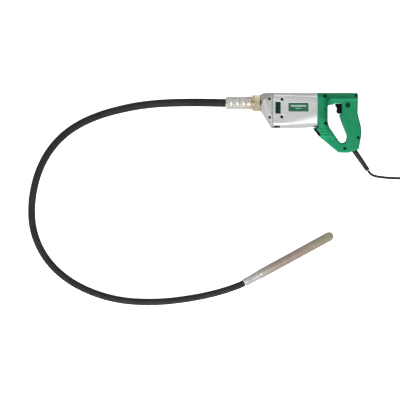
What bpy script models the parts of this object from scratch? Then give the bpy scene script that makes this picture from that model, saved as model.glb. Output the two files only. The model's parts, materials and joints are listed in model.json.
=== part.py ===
"""Hand-held electric concrete vibrator, lying on its side.

The motor's axis runs along X, the hose leaves towards -X and the handle is at +X. The tool's top
faces +Y and its left side faces +Z. The origin is on the housing's right side face, under the
motor's axis, so Z = 0 is the surface that the tool, its hose, its head and its cord lie on.

All sizes here are in millimetres. The mesh helpers turn them into metres.
"""

import math

import bmesh
import bpy
from mathutils import Matrix, Vector

MM = 0.001
GAP = 0.3                       # room between pieces that touch
WELD = 1e-6                     # metres
ARC_STEP = math.radians(24)     # angle between points on an arc
SMOOTH_ANGLE = math.radians(35)

# Driving dimensions: the drive unit
HOUSING_WIDTH = 88.0
AXIS_HEIGHT = HOUSING_WIDTH / 2
HOUSING_REAR, HOUSING_FRONT = 65.3, -63.8
HOUSING_TOP, HOUSING_BOTTOM = 51.3, -51.5
HOUSING_CORNER = 16.0
MOTOR_BORE = 37.5
NOSE_FRONT = -100.3
SPINDLE_OFFSET = 22.0           # the spindle's axis lies above the motor's

# Driving dimensions: the handle
GRIP_HALF = 21.0
STRIP_HALF = 17.5
COLUMN_HALF = 43.0
FOOT_START, FOOT_TAPER = -47.2, 0.625       # below this height the column narrows, per mm
SHELL_WALL = 2.7
GROOVE_DEPTH = 1.5

# Driving dimensions: gears, module 1
PINION_TEETH, GEAR_TEETH, MODULE = 15, 29, 1.0

# Driving dimensions: hose and head
HOSE_RADIUS, HOSE_BORE = 11.0, 6.5
CORE_RADIUS = 4.5
FERRULE_END = -200.7
HEAD_RADIUS = 13.5
HEAD_START = (-146.5, -499.7, HEAD_RADIUS + 0.1)
HEAD_HEADING = 28.6
HEAD_LENGTH = 293.0
NECK_START, CASING_START = 23.0, 50.0

# Driving dimensions: mains cord and its coil
CORD_RADIUS = 4.0
BOOT_ROOT = (172.0, -116.0, AXIS_HEIGHT)
BOOT_HEADING = -55.4
BOOT_LENGTH = 70.0
COIL_CENTRE = (367.0, -250.0)
COIL_MEAN, COIL_HALF_WIDTH = 46.0, 13.0
COIL_LOW, COIL_HIGH = 1.6, 18.2
PLUG_X, PLUG_START, PLUG_HEIGHT = COIL_CENTRE[0] + COIL_MEAN + 2 * CORD_RADIUS, -286.6, 12.2

# The hose's centreline, from the ferrule to the head
HOSE_ROUTE = [
    (-201.0, 22.0, 44.0), (-212.6, 22.2, 44.0), (-272.6, 23.4, 41.0), (-332.3, 23.2, 34.0),
    (-391.8, 20.9, 25.0), (-451.5, 14.5, 16.5), (-510.1, 2.9, 12.2), (-567.8, -13.8, 11.2),
    (-622.6, -37.8, 11.2), (-671.4, -71.1, 11.2), (-711.4, -115.4, 11.2), (-740.1, -167.6, 11.2),
    (-757.5, -225.0, 11.2), (-764.4, -284.5, 11.2), (-759.5, -343.9, 11.2), (-739.5, -399.9, 11.2),
    (-705.9, -448.9, 11.2), (-661.2, -488.7, 11.2), (-609.6, -518.2, 11.2), (-553.6, -539.1, 11.2),
    (-494.7, -551.6, 11.2), (-435.3, -555.6, 11.2), (-375.6, -553.9, 11.2), (-316.1, -546.9, 11.4),
    (-257.2, -536.2, 12.2), (-199.8, -520.9, 13.3), (-158.8, -506.1, 13.6), (-147.1, -500.0, 13.6),
]

# The mains cord's centreline, from the boot to the coil
CORD_ROUTE = [
    (212.1, -174.1, 44.0), (215.6, -179.2, 43.8), (221.4, -185.0, 43.0), (229.5, -189.0, 41.2),
    (240.0, -191.4, 37.6), (253.0, -193.2, 31.4), (267.0, -194.6, 23.6), (281.0, -195.5, 15.8),
    (295.0, -196.0, 9.8), (310.0, -196.0, 6.4), (324.0, -196.0, 5.6), (335.0, -196.0, 5.6),
]

# The handle's outline: x, y and the corner's radius
HANDLE_OUTLINE = [
    (HOUSING_REAR + GAP, HOUSING_TOP, 1), (183.0, HOUSING_TOP, 6), (181.4, -8.0, 40),
    (194.6, -60.0, 90), (185.0, -112.0, 5), (166.0, -119.0, 3), (156.0, -122.6, 4),
    (126.2, -122.6, 16), (70.8, -76.6, 60), (50.6, -51.2, 2), (HOUSING_REAR + GAP, -47.0, 0),
]
HAND_OPENING = [
    (94.5, 15.4, 4), (112.6, 17.6, 2), (114.6, 20.9, 1.5), (135.4, 20.9, 3), (135.4, -10.0, 2.5),
    (127.0, -10.2, 3), (133.4, -32.0, 80), (150.4, -74.0, 18), (145.5, -93.2, 11),
    (130.5, -93.2, 12), (96.8, -45.0, 40), (94.5, -30.0, 20),
]
COLUMN_OUTLINE = [
    (HOUSING_REAR + GAP, HOUSING_TOP, 0), (93.0, HOUSING_TOP, 0), (93.0, -40.0, 6),
    (103.0, -58.0, 4), (82.0, -85.9, 0), (70.8, -76.6, 60), (50.6, -51.2, 2),
    (HOUSING_REAR + GAP, -47.0, 0),
]
HANDLE_SCREWS = [(85.6, 41.8), (176.4, 43.2), (88.0, -37.0), (183.0, -78.3), (144.4, -109.6)]
HOUSING_SCREWS = [(-37.8, 32.2), (-38.6, -18.3)]
NOSE_SCREWS = [(-74.4, 33.8), (-74.2, -20.0)]
LOCK_BUTTON = (152.5, 15.7)

for old in list(bpy.data.objects):
    bpy.data.objects.remove(old, do_unlink=True)

PARTS = bpy.data.collections.new("concrete_vibrator")
CUTTERS = bpy.data.collections.new("cutters")
bpy.context.scene.collection.children.link(PARTS)
bpy.context.scene.collection.children.link(CUTTERS)


# ---------------------------------------------------------------- materials

def material(name, colour, roughness, metallic=0.0):
    made = bpy.data.materials.new(name)
    made.use_nodes = True
    shader = made.node_tree.nodes["Principled BSDF"]
    shader.inputs["Base Color"].default_value = (*colour, 1.0)
    shader.inputs["Roughness"].default_value = roughness
    shader.inputs["Metallic"].default_value = metallic
    return made


ALUMINIUM = material("polished_aluminium", (0.72, 0.73, 0.72), 0.28, 1.0)
CASTING = material("grey_casting", (0.52, 0.52, 0.51), 0.45, 1.0)
GREEN = material("green_plastic", (0.02, 0.28, 0.13), 0.38)
DARK_GREEN = material("dark_green_plastic", (0.02, 0.08, 0.05), 0.5)
BADGE = material("badge_green", (0.03, 0.12, 0.07), 0.35)
BLACK = material("black_plastic", (0.01, 0.01, 0.01), 0.3)
RUBBER = material("black_rubber", (0.02, 0.02, 0.02), 0.7)
ZINC_GOLD = material("gold_zinc", (0.72, 0.62, 0.42), 0.3, 1.0)
ZINC = material("bright_zinc", (0.62, 0.62, 0.6), 0.3, 1.0)
STEEL = material("steel", (0.5, 0.5, 0.5), 0.3, 1.0)
DARK_STEEL = material("dark_steel", (0.05, 0.05, 0.05), 0.4, 1.0)
LAMINATION = material("laminated_steel", (0.25, 0.25, 0.26), 0.5, 1.0)
COPPER = material("copper", (0.6, 0.25, 0.1), 0.35, 1.0)
BRASS = material("brass", (0.6, 0.45, 0.15), 0.35, 1.0)
CARBON = material("carbon", (0.02, 0.02, 0.02), 0.6)


# ---------------------------------------------------------------- helpers

def add(name, mesh, look, frame=None):
    """A part when it has a look, a hidden cutter when it has none."""
    obj = bpy.data.objects.new(name, mesh)
    if look is None:
        CUTTERS.objects.link(obj)
        obj.hide_render = True
        obj.display_type = 'WIRE'
    else:
        PARTS.objects.link(obj)
        mesh.materials.append(look)
        mesh.shade_smooth()
        mesh.set_sharp_from_angle(angle=SMOOTH_ANGLE)
    if frame is not None:
        obj.matrix_world = frame
    return obj


def from_bmesh(name, shape, look, frame=None):
    mesh = bpy.data.meshes.new(name)
    shape.to_mesh(mesh)
    shape.free()
    return add(name, mesh, look, frame)


def axis_frame(x, y, z, heading=0.0):
    """Local Z along a horizontal heading in degrees from +X, and local Y upright."""
    turn = Matrix(((0, 0, 1), (1, 0, 0), (0, 1, 0))).to_4x4()
    return Matrix.Translation(Vector((x, y, z)) * MM) @ Matrix.Rotation(math.radians(heading), 4, 'Z') @ turn


MOTOR = axis_frame(0, 0, AXIS_HEIGHT)
SPINDLE = axis_frame(0, SPINDLE_OFFSET, AXIS_HEIGHT)
HEAD = axis_frame(*HEAD_START, HEAD_HEADING)
BOOT = axis_frame(*BOOT_ROOT, BOOT_HEADING)


def upright(x, y, z=0.0):
    return Matrix.Translation(Vector((x, y, z)) * MM)


def box(name, low, high, look=None, bevel=0.0, frame=None):
    low, high = Vector(low) * MM, Vector(high) * MM
    shape = bmesh.new()
    size = Matrix.Diagonal((*(high - low), 1.0))
    bmesh.ops.create_cube(shape, size=1.0, matrix=Matrix.Translation((low + high) / 2) @ size)
    obj = from_bmesh(name, shape, look, frame)
    if bevel:
        round_edges(obj, bevel)
    return obj


def rod(name, low, high, radius, frame, look=None, sides=24):
    """A plain cylinder along the frame's local Z."""
    shape = bmesh.new()
    middle = Matrix.Translation((0, 0, (low + high) / 2 * MM))
    bmesh.ops.create_cone(shape, cap_ends=True, segments=sides, radius1=radius * MM,
                          radius2=radius * MM, depth=(high - low) * MM, matrix=middle)
    return from_bmesh(name, shape, look, frame)


def turned(name, frame, outer, look=None, bore=(), blind=False, sides=24):
    """A turned shape: outer is (place, radius) from the high end down, bore from the low end up.

    A blind bore stops inside, so that the high end is closed.
    """
    profile = [(radius, place) for place, radius in (*outer, *bore)]
    ring_shaped = bool(bore) and not blind
    if not ring_shaped:
        profile = [(0.0, outer[0][0])] + profile + [(0.0, profile[-1][1])]
    mesh = bpy.data.meshes.new(name)
    points = [(radius * MM, 0.0, place * MM) for radius, place in profile]
    edges = [(i, i + 1) for i in range(len(points) - 1)]
    if ring_shaped:
        edges.append((len(points) - 1, 0))
    mesh.from_pydata(points, edges, [])
    obj = add(name, mesh, look, frame)
    screw = obj.modifiers.new("turn", 'SCREW')
    screw.axis = 'Z'
    screw.angle = 2 * math.pi
    screw.steps = sides
    screw.render_steps = sides
    screw.use_merge_vertices = True
    screw.merge_threshold = 1e-5
    screw.use_smooth_shade = True
    return obj


def ring(name, frame, low, high, outer, bore, look, sides=20):
    return turned(name, frame, [(high, outer), (low, outer)], look, [(low, bore), (high, bore)], sides=sides)


def fillet_outline(corners):
    """Corners of (x, y, radius) as one closed outline with true arcs."""
    outline = []
    count = len(corners)
    for index, (x, y, radius) in enumerate(corners):
        corner = Vector((x, y))
        back = (Vector(corners[index - 1][:2]) - corner).normalized()
        ahead = (Vector(corners[(index + 1) % count][:2]) - corner).normalized()
        turn = math.pi - back.angle(ahead)
        if radius == 0:
            outline.append(corner)
            continue
        centre = corner + (back + ahead).normalized() * (radius / math.cos(turn / 2))
        arm = corner + back * (radius * math.tan(turn / 2)) - centre
        side = 1 if back.cross(ahead) < 0 else -1
        steps = max(1, math.ceil(turn / ARC_STEP))
        for step in range(steps + 1):
            spin = Matrix.Rotation(side * turn * step / steps, 2)
            outline.append(centre + spin @ arm)
    return outline


def slab(name, outlines, low, high, look=None, frame=None):
    """A flat outline with its holes, as thick as low to high along local Z."""
    curve = bpy.data.curves.new(name, 'CURVE')
    curve.dimensions = '2D'
    curve.fill_mode = 'BOTH'
    curve.extrude = (high - low) / 2 * MM
    for outline in outlines:
        spline = curve.splines.new('POLY')
        spline.points.add(len(outline) - 1)
        for point, (x, y) in zip(spline.points, outline):
            point.co = (x * MM, y * MM, 0.0, 1.0)
        spline.use_cyclic_u = True
    mesh = curve_mesh(name, curve)
    mesh.transform(Matrix.Translation((0, 0, (low + high) / 2 * MM)))
    return add(name, mesh, look, frame)


def curve_mesh(name, curve):
    """The curve's own surface as a welded mesh. The curve is removed."""
    guide = bpy.data.objects.new(name + "_curve", curve)
    CUTTERS.objects.link(guide)
    bpy.context.view_layer.update()
    mesh = bpy.data.meshes.new_from_object(guide.evaluated_get(bpy.context.evaluated_depsgraph_get()))
    bpy.data.objects.remove(guide, do_unlink=True)
    shape = bmesh.new()
    shape.from_mesh(mesh)
    bmesh.ops.remove_doubles(shape, verts=shape.verts, dist=WELD)
    bmesh.ops.recalc_face_normals(shape, faces=shape.faces)
    shape.to_mesh(mesh)
    shape.free()
    mesh.name = name
    return mesh


def round_edges(obj, width, segments=2, angle=50.0):
    bevel = obj.modifiers.new("round", 'BEVEL')
    bevel.width = width * MM
    bevel.segments = segments
    bevel.limit_method = 'ANGLE'
    bevel.angle_limit = math.radians(angle)
    return obj


def combine(obj, others, operation='DIFFERENCE'):
    for other in others:
        step = obj.modifiers.new(other.name, 'BOOLEAN')
        step.operation = operation
        step.object = other
        step.solver = 'EXACT'
    return obj


def cut(obj, *others):
    return combine(obj, others)


def join(obj, *others):
    return combine(obj, others, 'UNION')


def smooth_route(points, spacing):
    """Points about spacing apart on a smooth curve through the route's own points."""
    ends = [2 * Vector(points[0]) - Vector(points[1]), 2 * Vector(points[-1]) - Vector(points[-2])]
    knots = [ends[0]] + [Vector(point) for point in points] + [ends[1]]
    curve = [knots[1]]
    for a, b, c, d in zip(knots, knots[1:], knots[2:], knots[3:]):
        steps = max(1, round((c - b).length / spacing))
        for step in range(1, steps + 1):
            t = step / steps
            curve.append(0.5 * (2 * b + (c - a) * t + (2 * a - 5 * b + 4 * c - d) * t ** 2
                                + (3 * b - a - 3 * c + d) * t ** 3))
    return curve


def tube_curve(name, points, radius, caps, resolution):
    curve = bpy.data.curves.new(name, 'CURVE')
    curve.dimensions = '3D'
    curve.bevel_depth = radius * MM
    curve.bevel_resolution = resolution
    curve.use_fill_caps = caps
    spline = curve.splines.new('POLY')
    spline.points.add(len(points) - 1)
    for knot, point in zip(spline.points, points):
        knot.co = (*(Vector(point) * MM), 1.0)
    return curve


def cable(name, points, radius, look, resolution=2):
    obj = bpy.data.objects.new(name, tube_curve(name, points, radius, True, resolution))
    obj.data.materials.append(look)
    PARTS.objects.link(obj)
    return obj


def pivot(name, frame):
    """An empty on a joint's axis."""
    empty = bpy.data.objects.new(name, None)
    PARTS.objects.link(empty)
    empty.matrix_world = frame
    empty.hide_render = True
    return empty


def carry(empty, pieces):
    for piece in pieces:
        place = piece.matrix_world.copy()
        piece.parent = empty
        piece.matrix_parent_inverse = empty.matrix_world.inverted()
        piece.matrix_world = place


def fastener(name, frame, head_radius, head_height, shank_radius, shank_length, look):
    """A pan-head screw: the head's top is at the frame's origin, and it points down local Z."""
    edge = head_radius * 0.2
    outer = [(0.0, head_radius - edge), (-edge, head_radius), (-head_height, head_radius),
             (-head_height, shank_radius), (-head_height - shank_length, shank_radius)]
    return turned(name, frame, outer, look, sides=12)


# ---------------------------------------------------------------- motor housing

VENT = (-57.0, -8.7, -42.0, 25.0)           # window in each side: x, y, x, y
VENT_BARS = (2.4, 13.0)
BADGE_PLATE = (-19.7, -3.2, 39.0, 22.6)


def make_housing():
    top, bottom = HOUSING_TOP, HOUSING_BOTTOM
    half, corner = HOUSING_WIDTH / 2, HOUSING_CORNER
    section = fillet_outline([(bottom, -half, corner), (top, -half, corner),
                              (top, half, corner), (bottom, half, corner)])
    housing = slab("motor_housing", [section], HOUSING_FRONT, HOUSING_REAR, ALUMINIUM, MOTOR)
    bore = rod("housing_bore", HOUSING_FRONT - 5, HOUSING_REAR + 5, MOTOR_BORE, MOTOR, sides=40)
    seat = rod("plate_seat", HOUSING_FRONT - 5, -58.0, 40.3, MOTOR, sides=40)
    corner_cut = slab("rear_corner_cut", [[(48.0, -60.0), (70.0, -60.0), (70.0, -46.0), (48.0, -51.0)]],
                      -2, HOUSING_WIDTH + 2)
    x0, y0, x1, y1 = VENT
    windows = [box("left_window", (x0, y0, 75), (x1, y1, HOUSING_WIDTH + 2)),
               box("right_window", (x0, y0, -2), (x1, y1, 13)),
               box("left_outlet", (-61.8, -60, 72), (-44.4, -20, 84)),
               box("right_outlet", (-61.8, -60, 4), (-44.4, -20, 16))]
    x0, y0, x1, y1 = BADGE_PLATE
    recess = slab("badge_recess", [fillet_outline([(x0, y0, 3), (x1, y0, 3), (x1, y1, 3), (x0, y1, 3)])],
                  HOUSING_WIDTH - 1, HOUSING_WIDTH + 1)
    cut(housing, bore, seat, corner_cut, recess, *windows)
    for index, (x, y) in enumerate(HOUSING_SCREWS, 1):
        place = upright(x, y, HOUSING_WIDTH)
        cut(housing, rod(f"housing_head_well_{index}", -5, 1, 4.5, place, sides=16),
            rod(f"housing_screw_hole_{index}", -11, -4, 2.4, place, sides=12))
        fastener(f"housing_screw_{index}", upright(x, y, HOUSING_WIDTH - 1.2),
                 4.1, 3.3, 2.0, 5.5, DARK_STEEL)


def make_trim():
    x0, y0, x1, y1 = BADGE_PLATE
    room = GAP
    plate = fillet_outline([(x0 + room, y0 + room, 2.7), (x1 - room, y0 + room, 2.7),
                            (x1 - room, y1 - room, 2.7), (x0 + room, y1 - room, 2.7)])
    slab("badge_plate", [plate], HOUSING_WIDTH - 0.7, HOUSING_WIDTH + 0.3, BADGE)
    x0, y0, x1, y1 = (VENT[0] + room, VENT[1] + room, VENT[2] - room, VENT[3] - room)
    frame = [(x0, y0), (x1, y0), (x1, y1), (x0, y1)]
    rim = 2.0
    levels = [y0 + rim] + [bar for y in VENT_BARS for bar in (y - 0.9, y + 0.9)] + [y1 - rim]
    slots = [[(x0 + rim, low), (x1 - rim, low), (x1 - rim, high), (x0 + rim, high)]
             for low, high in zip(levels[::2], levels[1::2])]
    slab("vent_grille_left", [frame] + slots, HOUSING_WIDTH - 4, HOUSING_WIDTH - 1, DARK_GREEN)
    slab("vent_grille_right", [frame] + slots, 1, 4, DARK_GREEN)


# ---------------------------------------------------------------- gearbox

def make_nose():
    """A faceted casting: the hull of the housing's section and a narrower front."""
    half, corner = HOUSING_WIDTH / 2 - 0.3, HOUSING_CORNER
    section = fillet_outline([(HOUSING_BOTTOM, -half, corner), (HOUSING_TOP, -half, corner),
                              (HOUSING_TOP, half, corner), (HOUSING_BOTTOM, half, corner)])
    rear = [(x, y, z) for x in (HOUSING_FRONT - GAP, -68.0) for y, z in section]
    middle = [(x, y, z * side) for side in (-1, 1) for x, y, z in
              ((-92.5, 50.4, 22), (-88.0, 44.0, 36), (-94.5, 26.0, 39), (-71.5, -20.0, half),
               (-90.0, 34.0, 41))]
    front_face = fillet_outline([(-0.5, -24, 12), (46.5, -24, 9), (46.5, 24, 9), (-0.5, 24, 12)])
    front = [(NOSE_FRONT, y, z) for y, z in front_face]
    shape = bmesh.new()
    for x, y, z in rear + middle + front:
        shape.verts.new(Vector((x, y, z + AXIS_HEIGHT)) * MM)
    bmesh.ops.convex_hull(shape, input=shape.verts)
    loose = [vert for vert in shape.verts if not vert.link_faces]
    bmesh.ops.delete(shape, geom=loose, context='VERTS')
    bmesh.ops.dissolve_limit(shape, angle_limit=math.radians(2), verts=shape.verts, edges=shape.edges)
    bmesh.ops.recalc_face_normals(shape, faces=shape.faces)
    nose = from_bmesh("gearbox_nose", shape, CASTING)
    spigot = rod("spigot", -116.2, NOSE_FRONT + 3, 18.0, SPINDLE, sides=32)
    join(nose, spigot)
    cut(nose,
        rod("gear_chamber", -86.5, -60, 17.5, SPINDLE, sides=32),
        rod("pinion_chamber", -86.5, -60, 12.0, MOTOR, sides=24),
        rod("nose_plate_seat", -66.6, -60, 40.3, MOTOR, sides=40),
        rod("front_bearing_seat", -95.0, -80, 14.3, SPINDLE, sides=32),
        rod("spigot_bore", -120, -94, 9.0, SPINDLE, sides=24))
    for index, (x, y) in enumerate(NOSE_SCREWS, 1):
        place = upright(x, y, HOUSING_WIDTH)
        cut(nose, rod(f"nose_head_well_{index}", -5.2, 3, 3.6, place, sides=16),
            rod(f"nose_screw_hole_{index}", -13.5, -4, 2.1, place, sides=12))
        fastener(f"nose_screw_{index}", upright(x, y, HOUSING_WIDTH - 2.0),
                 3.2, 2.8, 1.7, 8.0, DARK_STEEL)


def make_bearing_plate():
    plate = rod("bearing_plate", -66.2, -58.3, 40.0, MOTOR, CASTING, sides=40)
    cut(plate,
        rod("plate_motor_seat", -66, -50, 11.3, MOTOR), rod("plate_motor_hole", -70, -50, 8.6, MOTOR),
        rod("plate_spindle_seat", -70, -60, 8.8, SPINDLE))
    ring("armature_bearing_front", MOTOR, -65.5, -58.6, 11.0, 4.3, STEEL)
    ring("spindle_bearing_rear", SPINDLE, -66.0, -60.4, 8.5, 3.3, STEEL)
    ring("spindle_bearing_front", SPINDLE, -94.7, -87.0, 14.0, 6.3, STEEL)


def gear_outline(teeth, turn):
    """Involute gear, module 1, with its teeth thinned for backlash."""
    pitch = teeth * MODULE / 2
    base = pitch * math.cos(math.radians(20))
    tip, root = pitch + 0.95 * MODULE, pitch - 1.3 * MODULE
    half_tooth = 0.40 * math.pi / teeth
    pressure = math.tan(math.radians(20)) - math.radians(20)

    def flank_angle(radius):
        if radius <= base:
            return half_tooth + pressure
        roll = math.sqrt((radius / base) ** 2 - 1)
        return half_tooth + pressure - (roll - math.atan(roll))

    radii = [root, pitch, tip]
    outline = []
    for tooth in range(teeth):
        middle = turn + tooth * 2 * math.pi / teeth
        left = [(radius, middle - flank_angle(radius)) for radius in radii]
        right = [(radius, middle + flank_angle(radius)) for radius in reversed(radii)]
        outline += [(radius * math.cos(angle), radius * math.sin(angle)) for radius, angle in left + right]
    return outline


def make_gears():
    gear = slab("output_gear", [gear_outline(GEAR_TEETH, 0.0)], -79.5, -70.5, STEEL, SPINDLE)
    cut(gear, rod("output_gear_bore", -82, -68, 6.3, SPINDLE))
    spindle = turned("output_spindle", SPINDLE,
                     [(-60.2, 3.0), (-67.0, 3.0), (-67.0, 6.0), (-97.0, 6.0), (-97.0, 5.0), (-115.8, 5.0)],
                     STEEL, sides=24)
    pinion = slab("pinion", [gear_outline(PINION_TEETH, 0.0)], -80.5, -69.5, STEEL, MOTOR)
    cut(pinion, rod("pinion_bore", -83, -67, 4.3, MOTOR))
    return gear, spindle, pinion


# ---------------------------------------------------------------- motor

def fan_outline():
    outline = []
    for blade in range(8):
        angle = blade * math.pi / 4 + 0.13
        spread = Vector((math.cos(angle), math.sin(angle)))
        side = Vector((-math.sin(angle), math.cos(angle))) * 0.9
        for radius, sign in ((9.0, -1), (31.0, -1), (31.0, 1), (9.0, 1)):
            outline.append(spread * radius + side * sign)
    return outline


def make_armature():
    shaft = turned("armature_shaft", MOTOR,
                   [(57.6, 3.5), (49.0, 3.5), (49.0, 5.0), (-57.0, 5.0), (-57.0, 4.0), (-81.5, 4.0)],
                   STEEL, sides=24)
    core = ring("armature_core", MOTOR, -22, 22, 19.0, 14.2, LAMINATION)
    winding = turned("armature_winding", MOTOR,
                     [(30, 11), (28, 14.5), (22.4, 14.5), (22.4, 13.9), (-22.4, 13.9), (-22.4, 14.5),
                      (-28, 14.5), (-30, 11)], COPPER, [(-30, 5.3), (30, 5.3)], sides=24)
    commutator = ring("commutator", MOTOR, 31.5, 46.5, 12.0, 5.3, COPPER)
    fan = slab("fan", [fan_outline()], -51.0, -44.0, BLACK, MOTOR)
    join(fan, rod("fan_disc", -45.4, -43.4, 33.0, MOTOR, sides=32))
    cut(fan, rod("fan_bore", -60, -40, 5.3, MOTOR))
    return shaft, core, winding, commutator, fan


def make_stator():
    stator = rod("stator_core", -24, 24, MOTOR_BORE - GAP, MOTOR, LAMINATION, sides=40)
    poles = rod("pole_bar", -26, 26, 34.0, MOTOR, sides=32)
    cut(poles, box("pole_side_left", (-27, -40, AXIS_HEIGHT + 15), (27, 40, 90)),
        box("pole_side_right", (-27, -40, -2), (27, 40, AXIS_HEIGHT - 15)))
    windows = rod("stator_inside", -30, 30, 32.0, MOTOR, sides=40)
    cut(windows, poles)
    cut(stator, windows, rod("stator_bore", -30, 30, 19.8, MOTOR, sides=32))
    for name, side in (("field_coil_upper", 1), ("field_coil_lower", -1)):
        low, high = sorted((16.0 * side, 22.0 * side))
        coil = box(name, (-30.6, low, AXIS_HEIGHT - 21), (30.6, high, AXIS_HEIGHT + 21), COPPER)
        cut(coil, box(name + "_window", (-24.4, low - 1, AXIS_HEIGHT - 15.4),
                      (24.4, high + 1, AXIS_HEIGHT + 15.4)))


def make_brush_gear():
    carrier = rod("brush_carrier", 50.2, 57.4, MOTOR_BORE - GAP, MOTOR, BLACK, sides=40)
    cut(carrier, rod("carrier_bearing_seat", 51, 60, 9.8, MOTOR), rod("carrier_hole", 40, 60, 5.4, MOTOR),
        box("carrier_air_left", (45, -14, 64), (60, 14, 74)),
        box("carrier_air_right", (45, -14, 14), (60, 14, 24)))
    ring("armature_bearing_rear", MOTOR, 51.3, 57.2, 9.5, 3.8, STEEL)
    for name, side in (("upper", 1), ("lower", -1)):
        low, high = sorted((14.0 * side, 34.0 * side))
        holder = box("brush_holder_" + name, (32.5, low, AXIS_HEIGHT - 4.5),
                     (49.9, high, AXIS_HEIGHT + 4.5), BRASS)
        cut(holder, box("brush_room_" + name, (34.2, low - 1, AXIS_HEIGHT - 2.9),
                        (41.8, high + 1, AXIS_HEIGHT + 2.9)))
        low, high = sorted((12.4 * side, 28.0 * side))
        box("carbon_brush_" + name, (34.5, low, AXIS_HEIGHT - 2.6), (41.5, high, AXIS_HEIGHT + 2.6), CARBON)


# ---------------------------------------------------------------- handle

def column_half(y):
    """Half of the column's width at a height, above and below its foot's start."""
    return COLUMN_HALF - max(0.0, FOOT_START - y) * FOOT_TAPER


def handle_body():
    """Both shells in one: the flat grip and the wide column that takes the motor's end."""
    grip = slab("handle_grip", [fillet_outline(HANDLE_OUTLINE), fillet_outline(HAND_OPENING)],
                AXIS_HEIGHT - GRIP_HALF, AXIS_HEIGHT + GRIP_HALF)
    round_edges(grip, 3.5, segments=1, angle=60)
    column = slab("handle_column", [fillet_outline(COLUMN_OUTLINE)],
                  AXIS_HEIGHT - COLUMN_HALF, AXIS_HEIGHT + COLUMN_HALF)
    faces = []
    for name, side in (("left", 1), ("right", -1)):
        beyond = (COLUMN_HALF + 2) * side
        shoulder = slab("column_shoulder_" + name,
                        [[(81.0, beyond), (120.0, beyond), (120.0, 20.0 * side), (99.0, 20.0 * side)]],
                        -60.0, 100.0)
        shoulder.matrix_world = (Matrix.Translation((0, 0, AXIS_HEIGHT * MM))
                                 @ Matrix.Rotation(math.pi / 2, 4, 'X'))
        edge = HOUSING_TOP - 13
        upper = slab("column_top_edge_" + name,
                     [[(edge, COLUMN_HALF * side), (HOUSING_TOP + 2, (COLUMN_HALF - 15) * side),
                       (HOUSING_TOP + 2, beyond), (edge, beyond)]], 40, 130, frame=MOTOR)
        foot = slab("column_foot_" + name,
                    [[(FOOT_START, COLUMN_HALF * side), (-84.0, column_half(-84.0) * side),
                      (-100.0, column_half(-84.0) * side), (-100.0, beyond), (FOOT_START, beyond)]],
                    40, 130, frame=MOTOR)
        faces += [shoulder, upper, foot]
    cut(column, *faces)
    join(grip, column)
    strips = [slab("top_strip_" + name, [fillet_outline([(99.0, 54.0, 0), (99.0, 39.0, 6), (179.0, 39.0, 6),
                                                          (190.0, 47.0, 0), (190.0, 54.0, 0)])],
                   AXIS_HEIGHT + low, AXIS_HEIGHT + high)
              for name, low, high in (("left", STRIP_HALF, 50), ("right", -50, -STRIP_HALF))]
    cut(grip, *strips)
    bpy.context.view_layer.update()
    return bpy.data.meshes.new_from_object(grip.evaluated_get(bpy.context.evaluated_depsgraph_get()))


def handle_cavities():
    """Room for the motor's end, the switch, the trigger, the wiring and the cord."""
    inner = AXIS_HEIGHT - GRIP_HALF + SHELL_WALL, AXIS_HEIGHT + GRIP_HALF - SHELL_WALL
    return [
        box("motor_end_room", (60.0, -36, AXIS_HEIGHT - 38), (79.0, 36, AXIS_HEIGHT + 38)),
        slab("switch_room", [fillet_outline([(138.4, 32, 3), (176.0, 32, 3), (177.0, -10, 6), (181.0, -60, 6),
                                              (152.0, -60, 3), (141.5, -26, 6), (138.4, -10, 3)])], *inner),
        box("trigger_slot", (134.0, -9.8, AXIS_HEIGHT - 9.2), (140.0, 20.7, AXIS_HEIGHT + 9.2)),
        box("wire_channel", (76.0, 24, AXIS_HEIGHT - 8), (140.0, 31, AXIS_HEIGHT + 8)),
        box("cord_channel", (153.6, -102, AXIS_HEIGHT - 9), (174.4, -58, AXIS_HEIGHT + 9)),
        rod("boot_flange_room", -19, -8.6, 10.4, BOOT),
        rod("boot_hole", -12, 12, 8.2, BOOT),
    ]


def make_handle():
    body = handle_body()
    cavities = handle_cavities()
    wells = []
    for index, (x, y) in enumerate(HANDLE_SCREWS, 1):
        wells += [rod(f"handle_well_{index}", 57.0, 95.0, 4.35, upright(x, y), sides=16),
                  rod(f"handle_hole_{index}", 31.0, 60.0, 2.4, upright(x, y), sides=12)]
        fastener(f"handle_screw_{index}", upright(x, y, 60.6), 3.8, 3.3, 2.0, 25.6, DARK_STEEL)
    vent = slab("inlet_slot", [[(50.0, -56.0), (55.0, -52.0), (74.0, -75.0), (69.0, -79.0)]],
                AXIS_HEIGHT - COLUMN_HALF - 2, AXIS_HEIGHT + COLUMN_HALF + 2)
    grooves = []
    for index, (x0, x1, y) in enumerate(((70.5, 91.4, -52.5), (73.4, 92.0, -60.9), (78.6, 92.0, -69.3))):
        floor = column_half(y) - GROOVE_DEPTH
        for side, low, high in (("left", floor, 60), ("right", -60, -floor)):
            grooves.append(box(f"groove_{side}_{index}", (x0, y - 1.1, AXIS_HEIGHT + low),
                               (x1, y + 1.1, AXIS_HEIGHT + high)))
    button = rod("button_hole", 62.0, 70.0, 6.8, upright(*LOCK_BUTTON), sides=24)
    halves = (("handle_shell_left", -10.0, AXIS_HEIGHT + GAP / 2),
              ("handle_shell_right", AXIS_HEIGHT - GAP / 2, 100.0))
    for name, low, high in halves:
        other_half = box(name + "_other_half", (0, -200, low), (300, 100, high))
        shell = add(name, body.copy(), GREEN)
        cut(shell, other_half, *cavities, *wells, vent, *grooves, button)


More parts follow.
